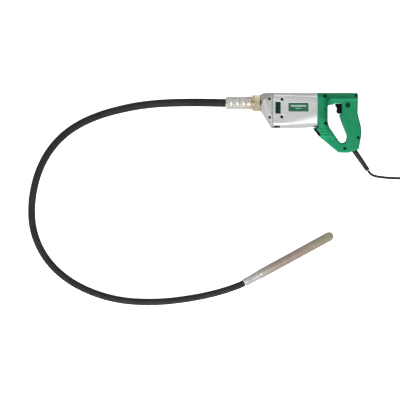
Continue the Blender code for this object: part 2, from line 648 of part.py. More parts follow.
def make_controls():
    switch = box("switch_body", (149.0, -9, AXIS_HEIGHT - 13), (173.0, 29, AXIS_HEIGHT + 13),
                 BLACK, bevel=1.0)
    trigger = slab("trigger", [fillet_outline([(116.2, 20.2, 1.5), (116.2, 15.0, 3), (120.0, 8.0, 6),
                                               (119.8, -5.0, 6), (123.5, -9.2, 3), (134.0, -9.2, 2),
                                               (134.0, -7.8, 0), (141.0, -7.8, 0), (141.0, 18.4, 0),
                                               (134.8, 18.4, 0), (134.8, 20.2, 1)])],
                   AXIS_HEIGHT - 8.6, AXIS_HEIGHT + 8.6, BLACK)
    button = turned("lock_button", upright(*LOCK_BUTTON),
                    [(67.4, 4.9), (66.6, 6.4), (61.9, 6.4), (61.9, 7.6), (60.9, 7.6)], DARK_GREEN, sides=24)
    return switch, trigger, button


# ---------------------------------------------------------------- drive-end hose fitting

def make_hose_fitting():
    across_flats = 48.0
    corners = [(across_flats / 2 / math.cos(math.pi / 6) * math.cos(math.radians(a)),
                across_flats / 2 / math.cos(math.pi / 6) * math.sin(math.radians(a)))
               for a in range(30, 390, 60)]
    nut = slab("coupling_nut", [corners], -124.4, NOSE_FRONT - GAP, ZINC_GOLD, SPINDLE)
    cut(nut, rod("nut_thread", -120.8, -90, 18.4, SPINDLE, sides=32),
        rod("nut_lip", -130, -90, 11.6, SPINDLE))
    turned("hose_adapter", SPINDLE, [(-116.6, 17.9), (-120.4, 17.9), (-120.4, 10.8), (-198.0, 10.8)],
           ZINC, [(-198.0, 5.6), (-116.6, 5.6)])
    turned("hose_ferrule", SPINDLE,
           [(-124.9, 18.0), (-126.0, 19.6), (-134.0, 19.6), (-138.0, 18.6), (-196.0, 18.6), (-199.0, 18.2),
            (FERRULE_END, 16.4)], ZINC, [(FERRULE_END, 11.2), (-124.9, 11.2)])
    return nut


# ---------------------------------------------------------------- hose and head

def make_hose():
    route = smooth_route(HOSE_ROUTE, 34.0)
    mesh = curve_mesh("hose", tube_curve("hose_line", route, HOSE_RADIUS, False, 2))
    hose = add("hose", mesh, RUBBER)
    wall = hose.modifiers.new("wall", 'SOLIDIFY')
    wall.thickness = (HOSE_RADIUS - HOSE_BORE) * MM
    wall.offset = -1.0
    wall.use_even_offset = True
    along = Vector((math.cos(math.radians(HEAD_HEADING)), math.sin(math.radians(HEAD_HEADING)), 0.0))
    before = [(x, SPINDLE_OFFSET, AXIS_HEIGHT) for x in (-116.3, -160.0)]
    after = [tuple(Vector(HEAD_START) + along * s) for s in (26.0, 53.0)]
    cable("flex_shaft", [Vector(p) for p in before] + route + [Vector(p) for p in after], CORE_RADIUS, STEEL)


def make_head():
    ring("head_ferrule", HEAD, 0.0, NECK_START - GAP, 11.8, 6.2, ZINC)
    turned("head_neck", HEAD,
           [(62.0, 10.2), (CASING_START - GAP, 10.2), (CASING_START - GAP, 12.9), (47.5, 12.9),
            (25.0, 11.9), (NECK_START, 11.6)], ZINC, [(NECK_START, 6.2), (62.0, 6.2)])
    tip = [(HEAD_LENGTH - HEAD_RADIUS * (1 - math.cos(angle)), HEAD_RADIUS * math.sin(angle))
           for angle in map(math.radians, (12, 28, 46, 66, 90))]
    turned("head_casing", HEAD, tip + [(CASING_START, HEAD_RADIUS)], ZINC_GOLD,
           [(CASING_START, 10.5), (279.0, 10.5), (281.5, 8.0)], blind=True, sides=28)
    ring("head_bearing_rear", HEAD, 64.0, 72.0, 10.2, 4.3, STEEL)
    ring("head_bearing_front", HEAD, 262.0, 270.0, 10.2, 4.3, STEEL)
    rotor = rod("eccentric_rotor", 56.0, 274.0, 4.0, HEAD, STEEL, sides=20)
    weight = rod("rotor_weight", 76.0, 258.0, 9.4, HEAD, sides=24)
    cut(weight, box("rotor_flat", (-12, 0.5, 70), (12, 12, 265), frame=HEAD))
    join(rotor, weight)
    return rotor


# ---------------------------------------------------------------- mains cord

def make_cord():
    turned("cord_boot", BOOT,
           [(BOOT_LENGTH, 6.6), (BOOT_LENGTH - 1.5, 7.2), (4.0, 7.8), (-8.9, 7.8), (-8.9, 10.0),
            (-13.0, 10.0)],
           RUBBER, [(-13.0, CORD_RADIUS + GAP), (BOOT_LENGTH, CORD_RADIUS + GAP)], sides=24)
    x, y, z = BOOT_ROOT
    along = Vector((math.cos(math.radians(BOOT_HEADING)), math.sin(math.radians(BOOT_HEADING)), 0.0))
    inner = [Vector(BOOT_ROOT) + along * s for s in (BOOT_LENGTH - 0.5, 50.0, 30.0, 10.0, -6.0, -13.5)]
    inner += [Vector(p) for p in ((163.4, -99.0, z), (163.2, -88.0, z), (163.2, -74.0, z),
                                  (163.6, -60.0, z), (163.6, -38.0, z))]
    cable("inner_cord", inner, CORD_RADIUS, RUBBER)
    clamp = box("cord_clamp", (155.0, -88.5, z + 0.5), (172.0, -80.5, z + 7.5), BLACK, bevel=0.8)
    cut(clamp, rod("clamp_groove", -100, -70, CORD_RADIUS + GAP + 0.2, axis_frame(163.2, 0, z, 90)))
    cable("mains_cord", smooth_route(CORD_ROUTE, 14.0), CORD_RADIUS, RUBBER)
    cx, cy = COIL_CENTRE
    ring("cord_coil", upright(cx, cy), COIL_LOW, COIL_HIGH, COIL_MEAN + COIL_HALF_WIDTH,
         COIL_MEAN - COIL_HALF_WIDTH + 0.5, RUBBER, sides=40)
    tie = box("cord_tie", (cx - 6, cy - COIL_MEAN - 15, 0.1),
              (cx + 6, cy - COIL_MEAN + 15, COIL_HIGH + 1.5), BLACK)
    cut(tie, box("tie_room", (cx - 8, cy - COIL_MEAN - 13.6, COIL_LOW - 0.4),
                 (cx + 8, cy - COIL_MEAN + 13.6, COIL_HIGH + 0.4)))


def make_plug():
    frame = axis_frame(PLUG_X, PLUG_START, PLUG_HEIGHT, -90)
    right = [(17, -68, 2), (19, -46, 8), (8, -30, 6)]
    corners = right + [(-x, y, radius) for x, y, radius in reversed(right)]
    outline = fillet_outline([(PLUG_X + x, PLUG_START + y, radius) for x, y, radius in corners])
    body = slab("plug_body", [outline], 0.1, 2 * PLUG_HEIGHT - 0.1, BLACK)
    round_edges(body, 3.0)
    relief = rod("plug_relief", 0, 34, 6.4, frame)
    join(body, relief)
    for name, offset in (("plug_pin_1", -9.5), ("plug_pin_2", 9.5)):
        pin_frame = axis_frame(PLUG_X + offset, PLUG_START - 68, PLUG_HEIGHT, -90)
        turned(name, pin_frame, [(19.0, 1.4), (17.8, 2.4), (GAP, 2.4)], BRASS, sides=16)


# ---------------------------------------------------------------- the whole

def main():
    make_housing()
    make_trim()
    make_nose()
    make_bearing_plate()
    gear, spindle, pinion = make_gears()
    armature = make_armature()
    make_stator()
    make_brush_gear()
    make_handle()
    switch, trigger, button = make_controls()
    nut = make_hose_fitting()
    make_hose()
    rotor = make_head()
    make_cord()
    make_plug()
    carry(pivot("armature_axis", MOTOR), [*armature, pinion])
    carry(pivot("spindle_axis", SPINDLE), [gear, spindle])
    carry(pivot("nut_axis", SPINDLE), [nut])
    carry(pivot("rotor_axis", HEAD), [rotor])
    bpy.context.view_layer.update()


main()
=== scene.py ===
"""Looks of a hand-held electric concrete vibrator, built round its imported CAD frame.

The motor's axis runs along X, the tool's top faces +Y and its left side faces +Z. Sizes in this
script are in millimetres, in the frame of the CAD, and the mesh helpers turn them into metres.
"""

import functools
import json
import math

import bmesh
import bpy
import numpy as np
from mathutils import Matrix, Vector


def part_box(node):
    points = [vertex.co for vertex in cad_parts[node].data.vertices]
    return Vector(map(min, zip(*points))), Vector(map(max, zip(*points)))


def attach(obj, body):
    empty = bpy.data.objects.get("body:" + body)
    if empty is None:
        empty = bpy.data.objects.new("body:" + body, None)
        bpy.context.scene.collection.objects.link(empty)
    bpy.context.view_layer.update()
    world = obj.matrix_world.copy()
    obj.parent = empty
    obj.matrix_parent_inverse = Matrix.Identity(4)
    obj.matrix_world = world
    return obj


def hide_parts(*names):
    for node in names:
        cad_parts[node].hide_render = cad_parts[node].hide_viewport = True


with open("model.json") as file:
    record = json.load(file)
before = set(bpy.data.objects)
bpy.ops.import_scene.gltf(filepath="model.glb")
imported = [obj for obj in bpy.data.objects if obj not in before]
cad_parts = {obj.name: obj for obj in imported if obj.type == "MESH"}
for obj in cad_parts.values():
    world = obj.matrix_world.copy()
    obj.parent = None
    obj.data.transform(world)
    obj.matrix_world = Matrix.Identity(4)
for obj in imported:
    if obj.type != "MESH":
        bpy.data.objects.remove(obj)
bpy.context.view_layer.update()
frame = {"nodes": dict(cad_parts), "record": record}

MM = 0.001
AXIS_HEIGHT = 44.0
SPINDLE_OFFSET = 22.0
HOUSING_WIDTH = 88.0


def millimetres(node):
    """A CAD node's lowest and highest corners in millimetres."""
    return [tuple(corner / MM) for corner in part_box(node)]


HOUSING_LOW, HOUSING_HIGH = millimetres("motor_housing")
HOUSING_FRONT, HOUSING_REAR = HOUSING_LOW[0], HOUSING_HIGH[0]
HOUSING_BOTTOM, HOUSING_TOP = HOUSING_LOW[1], HOUSING_HIGH[1]


def axis_frame(x, y, z, heading=0.0):
    """Local Z along a horizontal heading in degrees from +X, and local Y upright."""
    turn = Matrix(((0, 0, 1), (1, 0, 0), (0, 1, 0))).to_4x4()
    place = Matrix.Translation(Vector((x, y, z)) * MM)
    return place @ Matrix.Rotation(math.radians(heading), 4, 'Z') @ turn


def upright(x, y, z=0.0):
    return Matrix.Translation(Vector((x, y, z)) * MM)


HEAD_START, HEAD_HEADING, HEAD_LENGTH, HEAD_RADIUS = (-146.5, -499.7, 13.6), 28.6, 293.0, 13.5
BOOT_ROOT, BOOT_HEADING, BOOT_LENGTH = (172.0, -116.0, AXIS_HEIGHT), -55.4, 70.0
SPINDLE = axis_frame(0, SPINDLE_OFFSET, AXIS_HEIGHT)
HEAD = axis_frame(*HEAD_START, HEAD_HEADING)
BOOT = axis_frame(*BOOT_ROOT, BOOT_HEADING)


# ------------ camera

def make_camera():
    """Straight down on the tool's left side, from far enough to see it almost without perspective."""
    camera = bpy.data.objects.new("camera", bpy.data.cameras.new("camera"))
    bpy.context.scene.collection.objects.link(camera)
    camera.data.sensor_width = 36.0
    camera.data.lens = 600.0
    camera.data.clip_end = 60.0
    camera.location = (-0.2755, -0.2593, 19.377)
    bpy.context.scene.camera = camera


# ------------ material nodes

class Nodes:
    """A small builder for a material's node tree, on the object's own coordinates, or for another tree."""

    def __init__(self, name, tree=None):
        if tree is None:
            self.material = bpy.data.materials.new(name)
            self.material.use_nodes = True
            tree = self.material.node_tree
            self.shader = tree.nodes["Principled BSDF"]
        self.tree = tree
        self.coordinates = self.new('ShaderNodeTexCoord').outputs
        self.place = self.coordinates["Object"]

    def new(self, kind, inputs=(), **settings):
        made = self.tree.nodes.new(kind)
        for key, value in settings.items():
            setattr(made, key, value)
        for key, value in dict(inputs).items():
            self.feed(made.inputs[key], value)
        return made

    def feed(self, socket, value):
        if isinstance(value, bpy.types.NodeSocket):
            self.tree.links.new(value, socket)
        elif hasattr(value, "__len__") and len(value) == 3 and socket.type == 'RGBA':
            socket.default_value = (*value, 1.0)
        else:
            socket.default_value = value

    def set(self, **inputs):
        for key, value in inputs.items():
            self.feed(self.shader.inputs[key.replace("_", " ")], value)

    def stretched(self, scale, turn=(0.0, 0.0, 0.0)):
        inputs = {"Vector": self.place, "Scale": scale, "Rotation": turn}
        return self.new('ShaderNodeMapping', inputs).outputs[0]

    def noise(self, scale, detail=2.0, vector=None):
        inputs = {"Vector": vector or self.place, "Scale": scale, "Detail": detail}
        return self.new('ShaderNodeTexNoise', inputs).outputs[0]

    def ramp(self, value, low, high, start=0.35, end=0.65, **settings):
        """Value mapped from start..end to low..high, for a number or a colour."""
        if hasattr(low, "__len__"):
            return self.mix(self.ramp(value, 0.0, 1.0, start, end), low, high)
        inputs = {"Value": value, "From Min": start, "From Max": end, "To Min": low, "To Max": high}
        return self.new('ShaderNodeMapRange', inputs, **settings).outputs[0]

    def mix(self, share, low, high):
        return self.new('ShaderNodeMix', {0: share, 6: low, 7: high}, data_type='RGBA').outputs[2]

    def maths(self, operation, a, b=0.0):
        return self.new('ShaderNodeMath', {0: a, 1: b}, operation=operation).outputs[0]

    def weighted(self, a, b, share):
        """The sum of share of a and the rest of b."""
        return self.maths('ADD', self.maths('MULTIPLY', a, share), self.maths('MULTIPLY', b, 1.0 - share))

    def bump(self, height, distance, normal=None):
        inputs = {"Height": height, "Distance": distance * MM}
        if normal is not None:
            inputs["Normal"] = normal
        return self.new('ShaderNodeBump', inputs).outputs[0]


def plain(name, low, high, rough, metallic, blotch, grain, depth, specular=0.5):
    """Blotched colour and roughness over a fine grain, the base of most of the surfaces."""
    look = Nodes(name)
    blotches = look.noise(blotch, 4.0)
    fine = look.noise(grain, 3.0)
    scatter = look.weighted(look.noise(blotch * 2.7, 3.0), fine, 0.6)
    look.set(Base_Color=look.ramp(blotches, low, high), Roughness=look.ramp(scatter, *rough),
             Metallic=metallic, Specular_IOR_Level=specular, Normal=look.bump(fine, depth))
    return look.material


# Each one's colours, roughness, metallic, blotch and grain scales, grain depth in mm, and specular level
PLAIN_LOOKS = {
    "casting": ((0.5, 0.5, 0.49), (0.57, 0.57, 0.56), (0.27, 0.4), 1, 30, 1500, 0.03),
    "green_plastic": ((0.003, 0.19, 0.08), (0.005, 0.214, 0.092), (0.32, 0.42), 0, 18, 1900, 0.035, 0.26),
    "dark_green_plastic": ((0.006, 0.046, 0.028), (0.01, 0.066, 0.042), (0.35, 0.5), 0, 40, 1500, 0.03, 0.15),
    "button_plastic": ((0.001, 0.03, 0.009), (0.002, 0.042, 0.014), (0.35, 0.5), 0, 40, 1500, 0.03, 0.05),
    "black_plastic": ((0.002, 0.002, 0.002), (0.004, 0.004, 0.004), (0.22, 0.34), 0, 60, 1700, 0.02, 0.08),
    "badge": ((0.012, 0.085, 0.048), (0.018, 0.105, 0.06), (0.25, 0.33), 0, 50, 1800, 0.008, 0.3),
    "badge_print": ((0.25, 0.37, 0.31), (0.31, 0.43, 0.37), (0.3, 0.4), 0, 300, 900, 0.05),
    "rubber": ((0.018, 0.019, 0.019), (0.027, 0.028, 0.028), (0.5, 0.64), 0, 25, 1300, 0.07, 0.3),
    "zinc_gold": ((0.66, 0.56, 0.36), (0.84, 0.71, 0.55), (0.24, 0.4), 1, 55, 800, 0.02),
    "zinc": ((0.6, 0.6, 0.57), (0.76, 0.75, 0.72), (0.22, 0.4), 1, 55, 800, 0.03),
    "steel": ((0.42, 0.42, 0.42), (0.52, 0.52, 0.51), (0.24, 0.4), 1, 60, 900, 0.02),
    "dark_steel": ((0.022, 0.023, 0.024), (0.05, 0.05, 0.052), (0.34, 0.5), 1, 200, 1500, 0.03),
    "copper": ((0.48, 0.19, 0.08), (0.66, 0.28, 0.13), (0.28, 0.44), 1, 120, 900, 0.05),
    "brass": ((0.55, 0.39, 0.13), (0.68, 0.5, 0.2), (0.24, 0.4), 1, 80, 900, 0.02),
    "carbon": ((0.012, 0.012, 0.012), (0.03, 0.03, 0.031), (0.5, 0.66), 0, 90, 1500, 0.05),
}


def aluminium():
    """Die-cast aluminium, tumbled and polished: faint casting flow and small scuffs."""
    look = Nodes("aluminium")
    flow = look.noise(14.0, 4.0, look.stretched((1.0, 3.0, 3.0)))
    scuffs = look.noise(700.0, 2.0, look.stretched((0.12, 1.0, 1.0), (0.0, 0.0, 0.2)))
    wear = look.weighted(flow, scuffs, 0.5)
    look.set(Base_Color=look.ramp(flow, (0.74, 0.755, 0.745), (0.83, 0.84, 0.83), 0.3, 0.7), Metallic=1.0,
             Roughness=look.ramp(wear, 0.14, 0.23),
             Normal=look.bump(scuffs, 0.004, look.bump(look.noise(160.0), 0.012)))
    return look.material


def lamination():
    """Stacked sheets of the motor's iron."""
    look = Nodes("lamination")
    thickness = 0.5
    sheets = look.new('ShaderNodeTexWave', {"Vector": look.place, "Scale": 1.0 / (20 * thickness * MM)},
                      wave_type='BANDS', bands_direction='X').outputs[1]
    look.set(Base_Color=look.ramp(look.noise(90.0), (0.17, 0.17, 0.18), (0.27, 0.27, 0.28)), Metallic=1.0,
             Roughness=look.ramp(sheets, 0.36, 0.58, 0.0, 1.0), Normal=look.bump(sheets, 0.05))
    return look.material


LOOKS = {name: plain(name, *values) for name, values in PLAIN_LOOKS.items()}
LOOKS.update(aluminium=aluminium(), lamination=lamination())


def dress_cad_nodes():
    """Every CAD node gets the procedural material of its slot."""
    for part in frame["record"]["subparts"]:
        for place in frame["nodes"][part["node"]].material_slots:
            place.material = LOOKS[part["material_slot"]]


# ------------ pieces

def finish_piece(obj, look, nodes=(), body="root", sharp=38):
    """Materials, shading, the body that the piece goes with, and the CAD nodes that it hides."""
    obj.data.materials.clear()
    obj.data.materials.append(look if isinstance(look, bpy.types.Material) else LOOKS[look])
    obj.data.shade_smooth()
    obj.data.set_sharp_from_angle(angle=math.radians(sharp))
    if obj.name not in bpy.context.scene.collection.objects:
        bpy.context.scene.collection.objects.link(obj)
    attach(obj, body)
    if nodes:
        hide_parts(*nodes)
    return obj


def object_of(name, points, faces, place):
    """A mesh object from points in millimetres, welded and with its faces pointing out."""
    mesh = bpy.data.meshes.new(name)
    mesh.from_pydata(np.asarray(points) * MM, [], np.asarray(faces).tolist())
    shape = bmesh.new()
    shape.from_mesh(mesh)
    bmesh.ops.remove_doubles(shape, verts=shape.verts, dist=1e-7)
    bmesh.ops.recalc_face_normals(shape, faces=shape.faces)
    shape.to_mesh(mesh)
    shape.free()
    obj = bpy.data.objects.new(name, mesh)
    obj.matrix_world = place
    return obj


def grid_faces(rows, columns, wrap_rows):
    """Quads of a grid of points whose columns close on themselves."""
    row = np.arange(rows if wrap_rows else rows - 1)[:, None]
    column = np.arange(columns)[None, :]
    ahead, beside = (row + 1) % rows, (column + 1) % columns
    return np.stack([row * columns + column, row * columns + beside,
                     ahead * columns + beside, ahead * columns + column], axis=-1).reshape(-1, 4)


def lathe(name, place, outer, bore=(), sides=72, shape=None):
    """A turned piece along local Z: outer and bore are (place, radius), one way along and back.

    Shape, where given, makes a radius from place, radius and angle. A profile without a bore
    starts and ends on the axis.
    """
    profile = list(outer) + list(bore)
    if not bore:
        profile = [(outer[0][0], 0.0)] + profile + [(outer[-1][0], 0.0)]
    stations = np.array([p for p, _ in profile])[:, None]
    radii = np.array([r for _, r in profile])[:, None]
    angles = np.linspace(0, 2 * np.pi, sides, endpoint=False)[None, :]
    radius = radii + 0 * angles
    if shape is not None:
        outside = np.arange(len(profile))[:, None] < len(outer) + (not bore)
        radius = np.where(outside, shape(stations, radius, angles), radius)
    points = np.stack([radius * np.cos(angles), radius * np.sin(angles), stations + 0 * angles], axis=-1)
    return object_of(name, points.reshape(-1, 3), grid_faces(len(profile), sides, bool(bore)), place)


def rounded(profile):
    """Corners of (place, radius, fillet) as (place, radius), with their fillets as arcs."""
    made = []
    for index, (x, y, fillet) in enumerate(profile):
        if fillet:
            made += [tuple(p) for p in corner_arc(profile[index - 1], (x, y), profile[index + 1], fillet, 4)]
        else:
            made.append((x, y))
    return made


def corner_arc(before, corner, after, radius, steps):
    """Points of the arc that rounds the corner between two neighbours."""
    corner = Vector(corner)
    back = (Vector(before[:2]) - corner).normalized()
    ahead = (Vector(after[:2]) - corner).normalized()
    turn = math.pi - back.angle(ahead)
    centre = corner + (back + ahead).normalized() * (radius / math.cos(turn / 2))
    arm = corner + back * (radius * math.tan(turn / 2)) - centre
    side = 1 if back.cross(ahead) < 0 else -1
    return [centre + Matrix.Rotation(side * turn * step / steps, 2) @ arm for step in range(steps + 1)]


def outline_of(corners):
    """Corners of (x, y, radius) as one closed outline."""
    made = []
    for index, (x, y, radius) in enumerate(corners):
        if radius:
            made += corner_arc(corners[index - 1], (x, y), corners[(index + 1) % len(corners)], radius, 7)
        else:
            made.append(Vector((x, y)))
    return [tuple(point) for point in made]


# ------------ shapes as distance fields, in mm

def hypot(a, b):
    return np.sqrt(a * a + b * b)


def union(*shapes):
    return functools.reduce(np.minimum, shapes)


def common(*shapes):
    return functools.reduce(np.maximum, shapes)


def less(shape, *tools):
    """The shape with the tools cut away."""
    return functools.reduce(lambda rest, tool: np.maximum(rest, -tool), tools, shape)


def round_max(a, b, radius):
    """Where both shapes are, with the edge between them rounded."""
    return (np.minimum(np.maximum(a, b), -radius)
            + hypot(np.maximum(a + radius, 0), np.maximum(b + radius, 0)))


def round_min(a, b, radius):
    """Where either shape is, with a fillet between them."""
    return -round_max(-a, -b, radius)


def block(x, y, z, low, high, radius=0.0):
    """A box with rounded edges."""
    parts = [np.abs(v - (a + b) / 2) - (b - a) / 2 + radius for v, a, b in zip((x, y, z), low, high)]
    outside = np.sqrt(sum(np.maximum(part, 0) ** 2 for part in parts))
    return outside + np.minimum(common(*parts), 0) - radius


def cylinder(u, v, along, low, high, radius, rounding=0.0):
    ends = np.abs(along - (low + high) / 2) - (high - low) / 2
    return round_max(hypot(u, v) - radius, ends, rounding)


def past_line(x, y, start, end):
    """Offsets from the nearest point of the straight line between two points."""
    (ax, ay), (bx, by) = start, end
    ex, ey = bx - ax, by - ay
    share = np.clip(((x - ax) * ex + (y - ay) * ey) / (ex * ex + ey * ey), 0, 1)
    return x - ax - share * ex, y - ay - share * ey


def segment(x, y, start, end):
    """Distance to a straight line between two points."""
    return hypot(*past_line(x, y, start, end))


def polygon(outline, x, y):
    """Signed distance to a closed outline, negative inside."""
    nearest, inside = np.inf, False
    for (ax, ay), (bx, by) in zip(outline, outline[1:] + outline[:1]):
        across, up = past_line(x, y, (ax, ay), (bx, by))
        nearest = np.minimum(nearest, across * across + up * up)
        if ay != by:
            inside = inside ^ (((ay > y) != (by > y)) & (x < (bx - ax) * (y - ay) / (by - ay) + ax))
    distance = np.sqrt(nearest)
    return np.where(inside, -distance, distance)


def soft_step(value):
    share = np.clip(value, 0, 1)
    return share * share * (3 - 2 * share)


def along_frame(place, x, y, z):
    """Points in a frame's own axes, in millimetres."""
    turn = np.array(place.to_3x3().inverted())
    start = np.array(place.translation) / MM
    moved = [v - s for v, s in zip((x, y, z), start)]
    return [sum(turn[row][k] * moved[k] for k in range(3)) for row in range(3)]


def blurred(values, width):
    """The field smoothed over width samples, which rounds the edges and leaves flat faces alone."""
    reach = max(1, math.ceil(2.5 * width))
    weights = np.exp(-0.5 * (np.arange(-reach, reach + 1) / width) ** 2)
    weights /= weights.sum()
    for axis in range(3):
        padded = np.pad(values, [(reach, reach) if k == axis else (0, 0) for k in range(3)], mode='edge')
        size = values.shape[axis]
        values = sum(weight * np.take(padded, range(shift, shift + size), axis=axis)
                     for shift, weight in enumerate(weights))
    return values


def surface_net(field, low, high, pitch, soften):
    """Points in millimetres and quads of the surface where the field is zero."""
    low = np.array(low, float) - 3 * pitch
    high = np.array(high, float) + 3 * pitch
    axes = [np.arange(a, b, pitch) for a, b in zip(low, high)]
    shape = tuple(len(axis) for axis in axes)
    values = np.broadcast_to(field(*np.meshgrid(*axes, indexing='ij', sparse=True)), shape).astype(np.float32)
    if soften:
        values = blurred(values, soften / pitch)
    inside = values < 0
    cells = tuple(size - 1 for size in shape)
    count = np.zeros(cells, np.uint8)
    for corner in np.ndindex(2, 2, 2):
        count += inside[tuple(slice(c, c + n) for c, n in zip(corner, cells))]
    active = (count > 0) & (count < 8)
    where = np.argwhere(active)
    number = np.full(cells, -1, np.int64)
    number[active] = np.arange(len(where))
    total, hits = np.zeros((len(where), 3)), np.zeros(len(where))
    units = np.eye(3, dtype=int)
    for axis in range(3):
        side, rise = units[(axis + 1) % 3], units[(axis + 2) % 3]
        for i, j in np.ndindex(2, 2):
            start = where + i * side + j * rise
            a = values[tuple(start.T)]
            b = values[tuple((start + units[axis]).T)]
            cross = (a < 0) != (b < 0)
            share = a[cross] / (a[cross] - b[cross])
            total[cross] += start[cross] + share[:, None] * units[axis]
            hits[cross] += 1
    points = total / hits[:, None] * pitch + low
    faces = []
    for axis in range(3):
        side, rise = units[(axis + 1) % 3], units[(axis + 2) % 3]
        ahead = np.roll(inside, -1, axis)
        edge = np.argwhere((inside != ahead)[:-1, :-1, :-1])
        edge = edge[(edge @ side > 0) & (edge @ rise > 0)]
        quads = np.stack([number[tuple((edge - a * side - b * rise).T)]
                          for a, b in ((1, 1), (0, 1), (0, 0), (1, 0))], axis=-1)
        outward = inside[tuple(edge.T)]
        faces.append(np.where(outward[:, None], quads, quads[:, ::-1]))
    return points, np.concatenate(faces)


def sculpted(name, field, low, high, pitch, soften, faces):
    """A mesh of the field's surface, thinned to about this many triangles where it is flat."""
    points, quads = surface_net(field, low, high, pitch, soften)
    mesh = bpy.data.meshes.new(name)
    mesh.from_pydata(points * MM, [], quads.tolist())
    obj = bpy.data.objects.new(name, mesh)
    bpy.context.scene.collection.objects.link(obj)
    if faces < 2 * len(quads):
        thin = obj.modifiers.new("thin", 'DECIMATE')
        thin.ratio = faces / (2 * len(quads))
        bpy.context.view_layer.update()
        obj.data = bpy.data.meshes.new_from_object(obj.evaluated_get(bpy.context.evaluated_depsgraph_get()))
        obj.modifiers.clear()
        bpy.data.meshes.remove(mesh)
        obj.data.name = name
    even = obj.modifiers.new("even_shading", 'WEIGHTED_NORMAL')
    even.weight = 60
    even.keep_sharp = True
    return obj


def swept(name, points, radii, sides):
    """A round tube along points, with length and angle as its UV map."""
    points = np.asarray(points, float)
    ahead = np.gradient(points, axis=0)
    ahead /= np.linalg.norm(ahead, axis=1)[:, None]
    side = np.cross(ahead[0], (0, 0, 1.0))
    sides_of = []
    for tangent in ahead:
        side = side - tangent * (side @ tangent)
        side /= np.linalg.norm(side)
        sides_of.append(side)
    across = np.array(sides_of)
    up = np.cross(ahead, across)
    angles = np.linspace(0, 2 * np.pi, sides, endpoint=False)
    rim = np.cos(angles)[None, :, None] * across[:, None] + np.sin(angles)[None, :, None] * up[:, None]
    skin = points[:, None] + rim * np.asarray(radii, float)[:, None, None]
    faces = grid_faces(len(points), sides, False)
    mesh = bpy.data.meshes.new(name)
    caps = [list(range(sides)), list(range((len(points) - 1) * sides, len(points) * sides))[::-1]]
    mesh.from_pydata(skin.reshape(-1, 3) * MM, [], faces[:, ::-1].tolist() + caps)
    lengths = np.concatenate([[0], np.cumsum(np.linalg.norm(np.diff(points, axis=0), axis=1))])
    layer = mesh.uv_layers.new(name="length_and_angle")
    loops = np.array([loop.vertex_index for loop in mesh.loops])
    turn, run = (loops % sides) / sides, lengths[loops // sides] * MM
    first = np.zeros(len(loops))
    for face in mesh.polygons[:len(faces)]:
        spread = turn[face.loop_start:face.loop_start + 4]
        if spread.max() - spread.min() > 0.5:
            first[face.loop_start:face.loop_start + 4] = spread < 0.5
    layer.data.foreach_set("uv", np.stack([turn + first, run], axis=-1).astype(np.float32).ravel())
    mesh.update()
    return bpy.data.objects.new(name, mesh)


# ------------ hose and mains cord

HOSE_DIAMETER, HOSE_LENGTH = 22.0, 1.50
CORD_DIAMETER, CORD_LENGTH = 8.0, 2.00

# The hose's centreline, from the ferrule to the head
HOSE_ROUTE = [
    (-201.0, 22.0, 44.0), (-212.6, 22.2, 44.0), (-272.6, 23.4, 41.0), (-332.3, 23.2, 34.0),
    (-391.8, 20.9, 25.0), (-451.5, 14.5, 16.5), (-510.1, 2.9, 12.2), (-567.8, -13.8, 11.2),
    (-622.6, -37.8, 11.2), (-671.4, -71.1, 11.2), (-711.4, -115.4, 11.2), (-740.1, -167.6, 11.2),
    (-757.5, -225.0, 11.2), (-764.4, -284.5, 11.2), (-759.5, -343.9, 11.2), (-739.5, -399.9, 11.2),
    (-705.9, -448.9, 11.2), (-661.2, -488.7, 11.2), (-609.6, -518.2, 11.2), (-553.6, -539.1, 11.2),
    (-494.7, -551.6, 11.2), (-435.3, -555.6, 11.2), (-375.6, -553.9, 11.2), (-316.1, -546.9, 11.4),
    (-257.2, -536.2, 12.2), (-199.8, -520.9, 13.3), (-158.8, -506.1, 13.6), (-147.1, -500.0, 13.6),
]

# The mains cord's centreline, from the boot to the coil
CORD_ROUTE = [
    (212.1, -174.1, 44.0), (215.6, -179.2, 43.8), (221.4, -185.0, 43.0), (229.5, -189.0, 41.2),
    (240.0, -191.4, 37.6), (253.0, -193.2, 31.4), (267.0, -194.6, 23.6), (281.0, -195.5, 15.8),
    (295.0, -196.0, 9.8), (310.0, -196.0, 6.4), (324.0, -196.0, 5.6), (335.0, -196.0, 5.6),
]
COIL_CENTRE = (367.0, -250.0)
COIL_LAYERS = [(5.6, (54.0, 46.0, 38.0)), (13.6, (38.0, 46.0, 54.0))]
PLUG_X, PLUG_START, PLUG_HEIGHT = 421.0, -286.6, 12.2


def smooth_route(points, spacing):
    """Points about spacing apart on a smooth curve through the route's own points."""
    ends = [2 * Vector(points[0]) - Vector(points[1]), 2 * Vector(points[-1]) - Vector(points[-2])]
    knots = [ends[0]] + [Vector(point) for point in points] + [ends[1]]
    curve = [knots[1]]
    for a, b, c, d in zip(knots, knots[1:], knots[2:], knots[3:]):
        steps = max(1, round((c - b).length / spacing))
        for step in range(1, steps + 1):
            t = step / steps
            curve.append(0.5 * (2 * b + (c - a) * t + (2 * a - 5 * b + 4 * c - d) * t ** 2
                                + (3 * b - a - 3 * c + d) * t ** 3))
    return curve


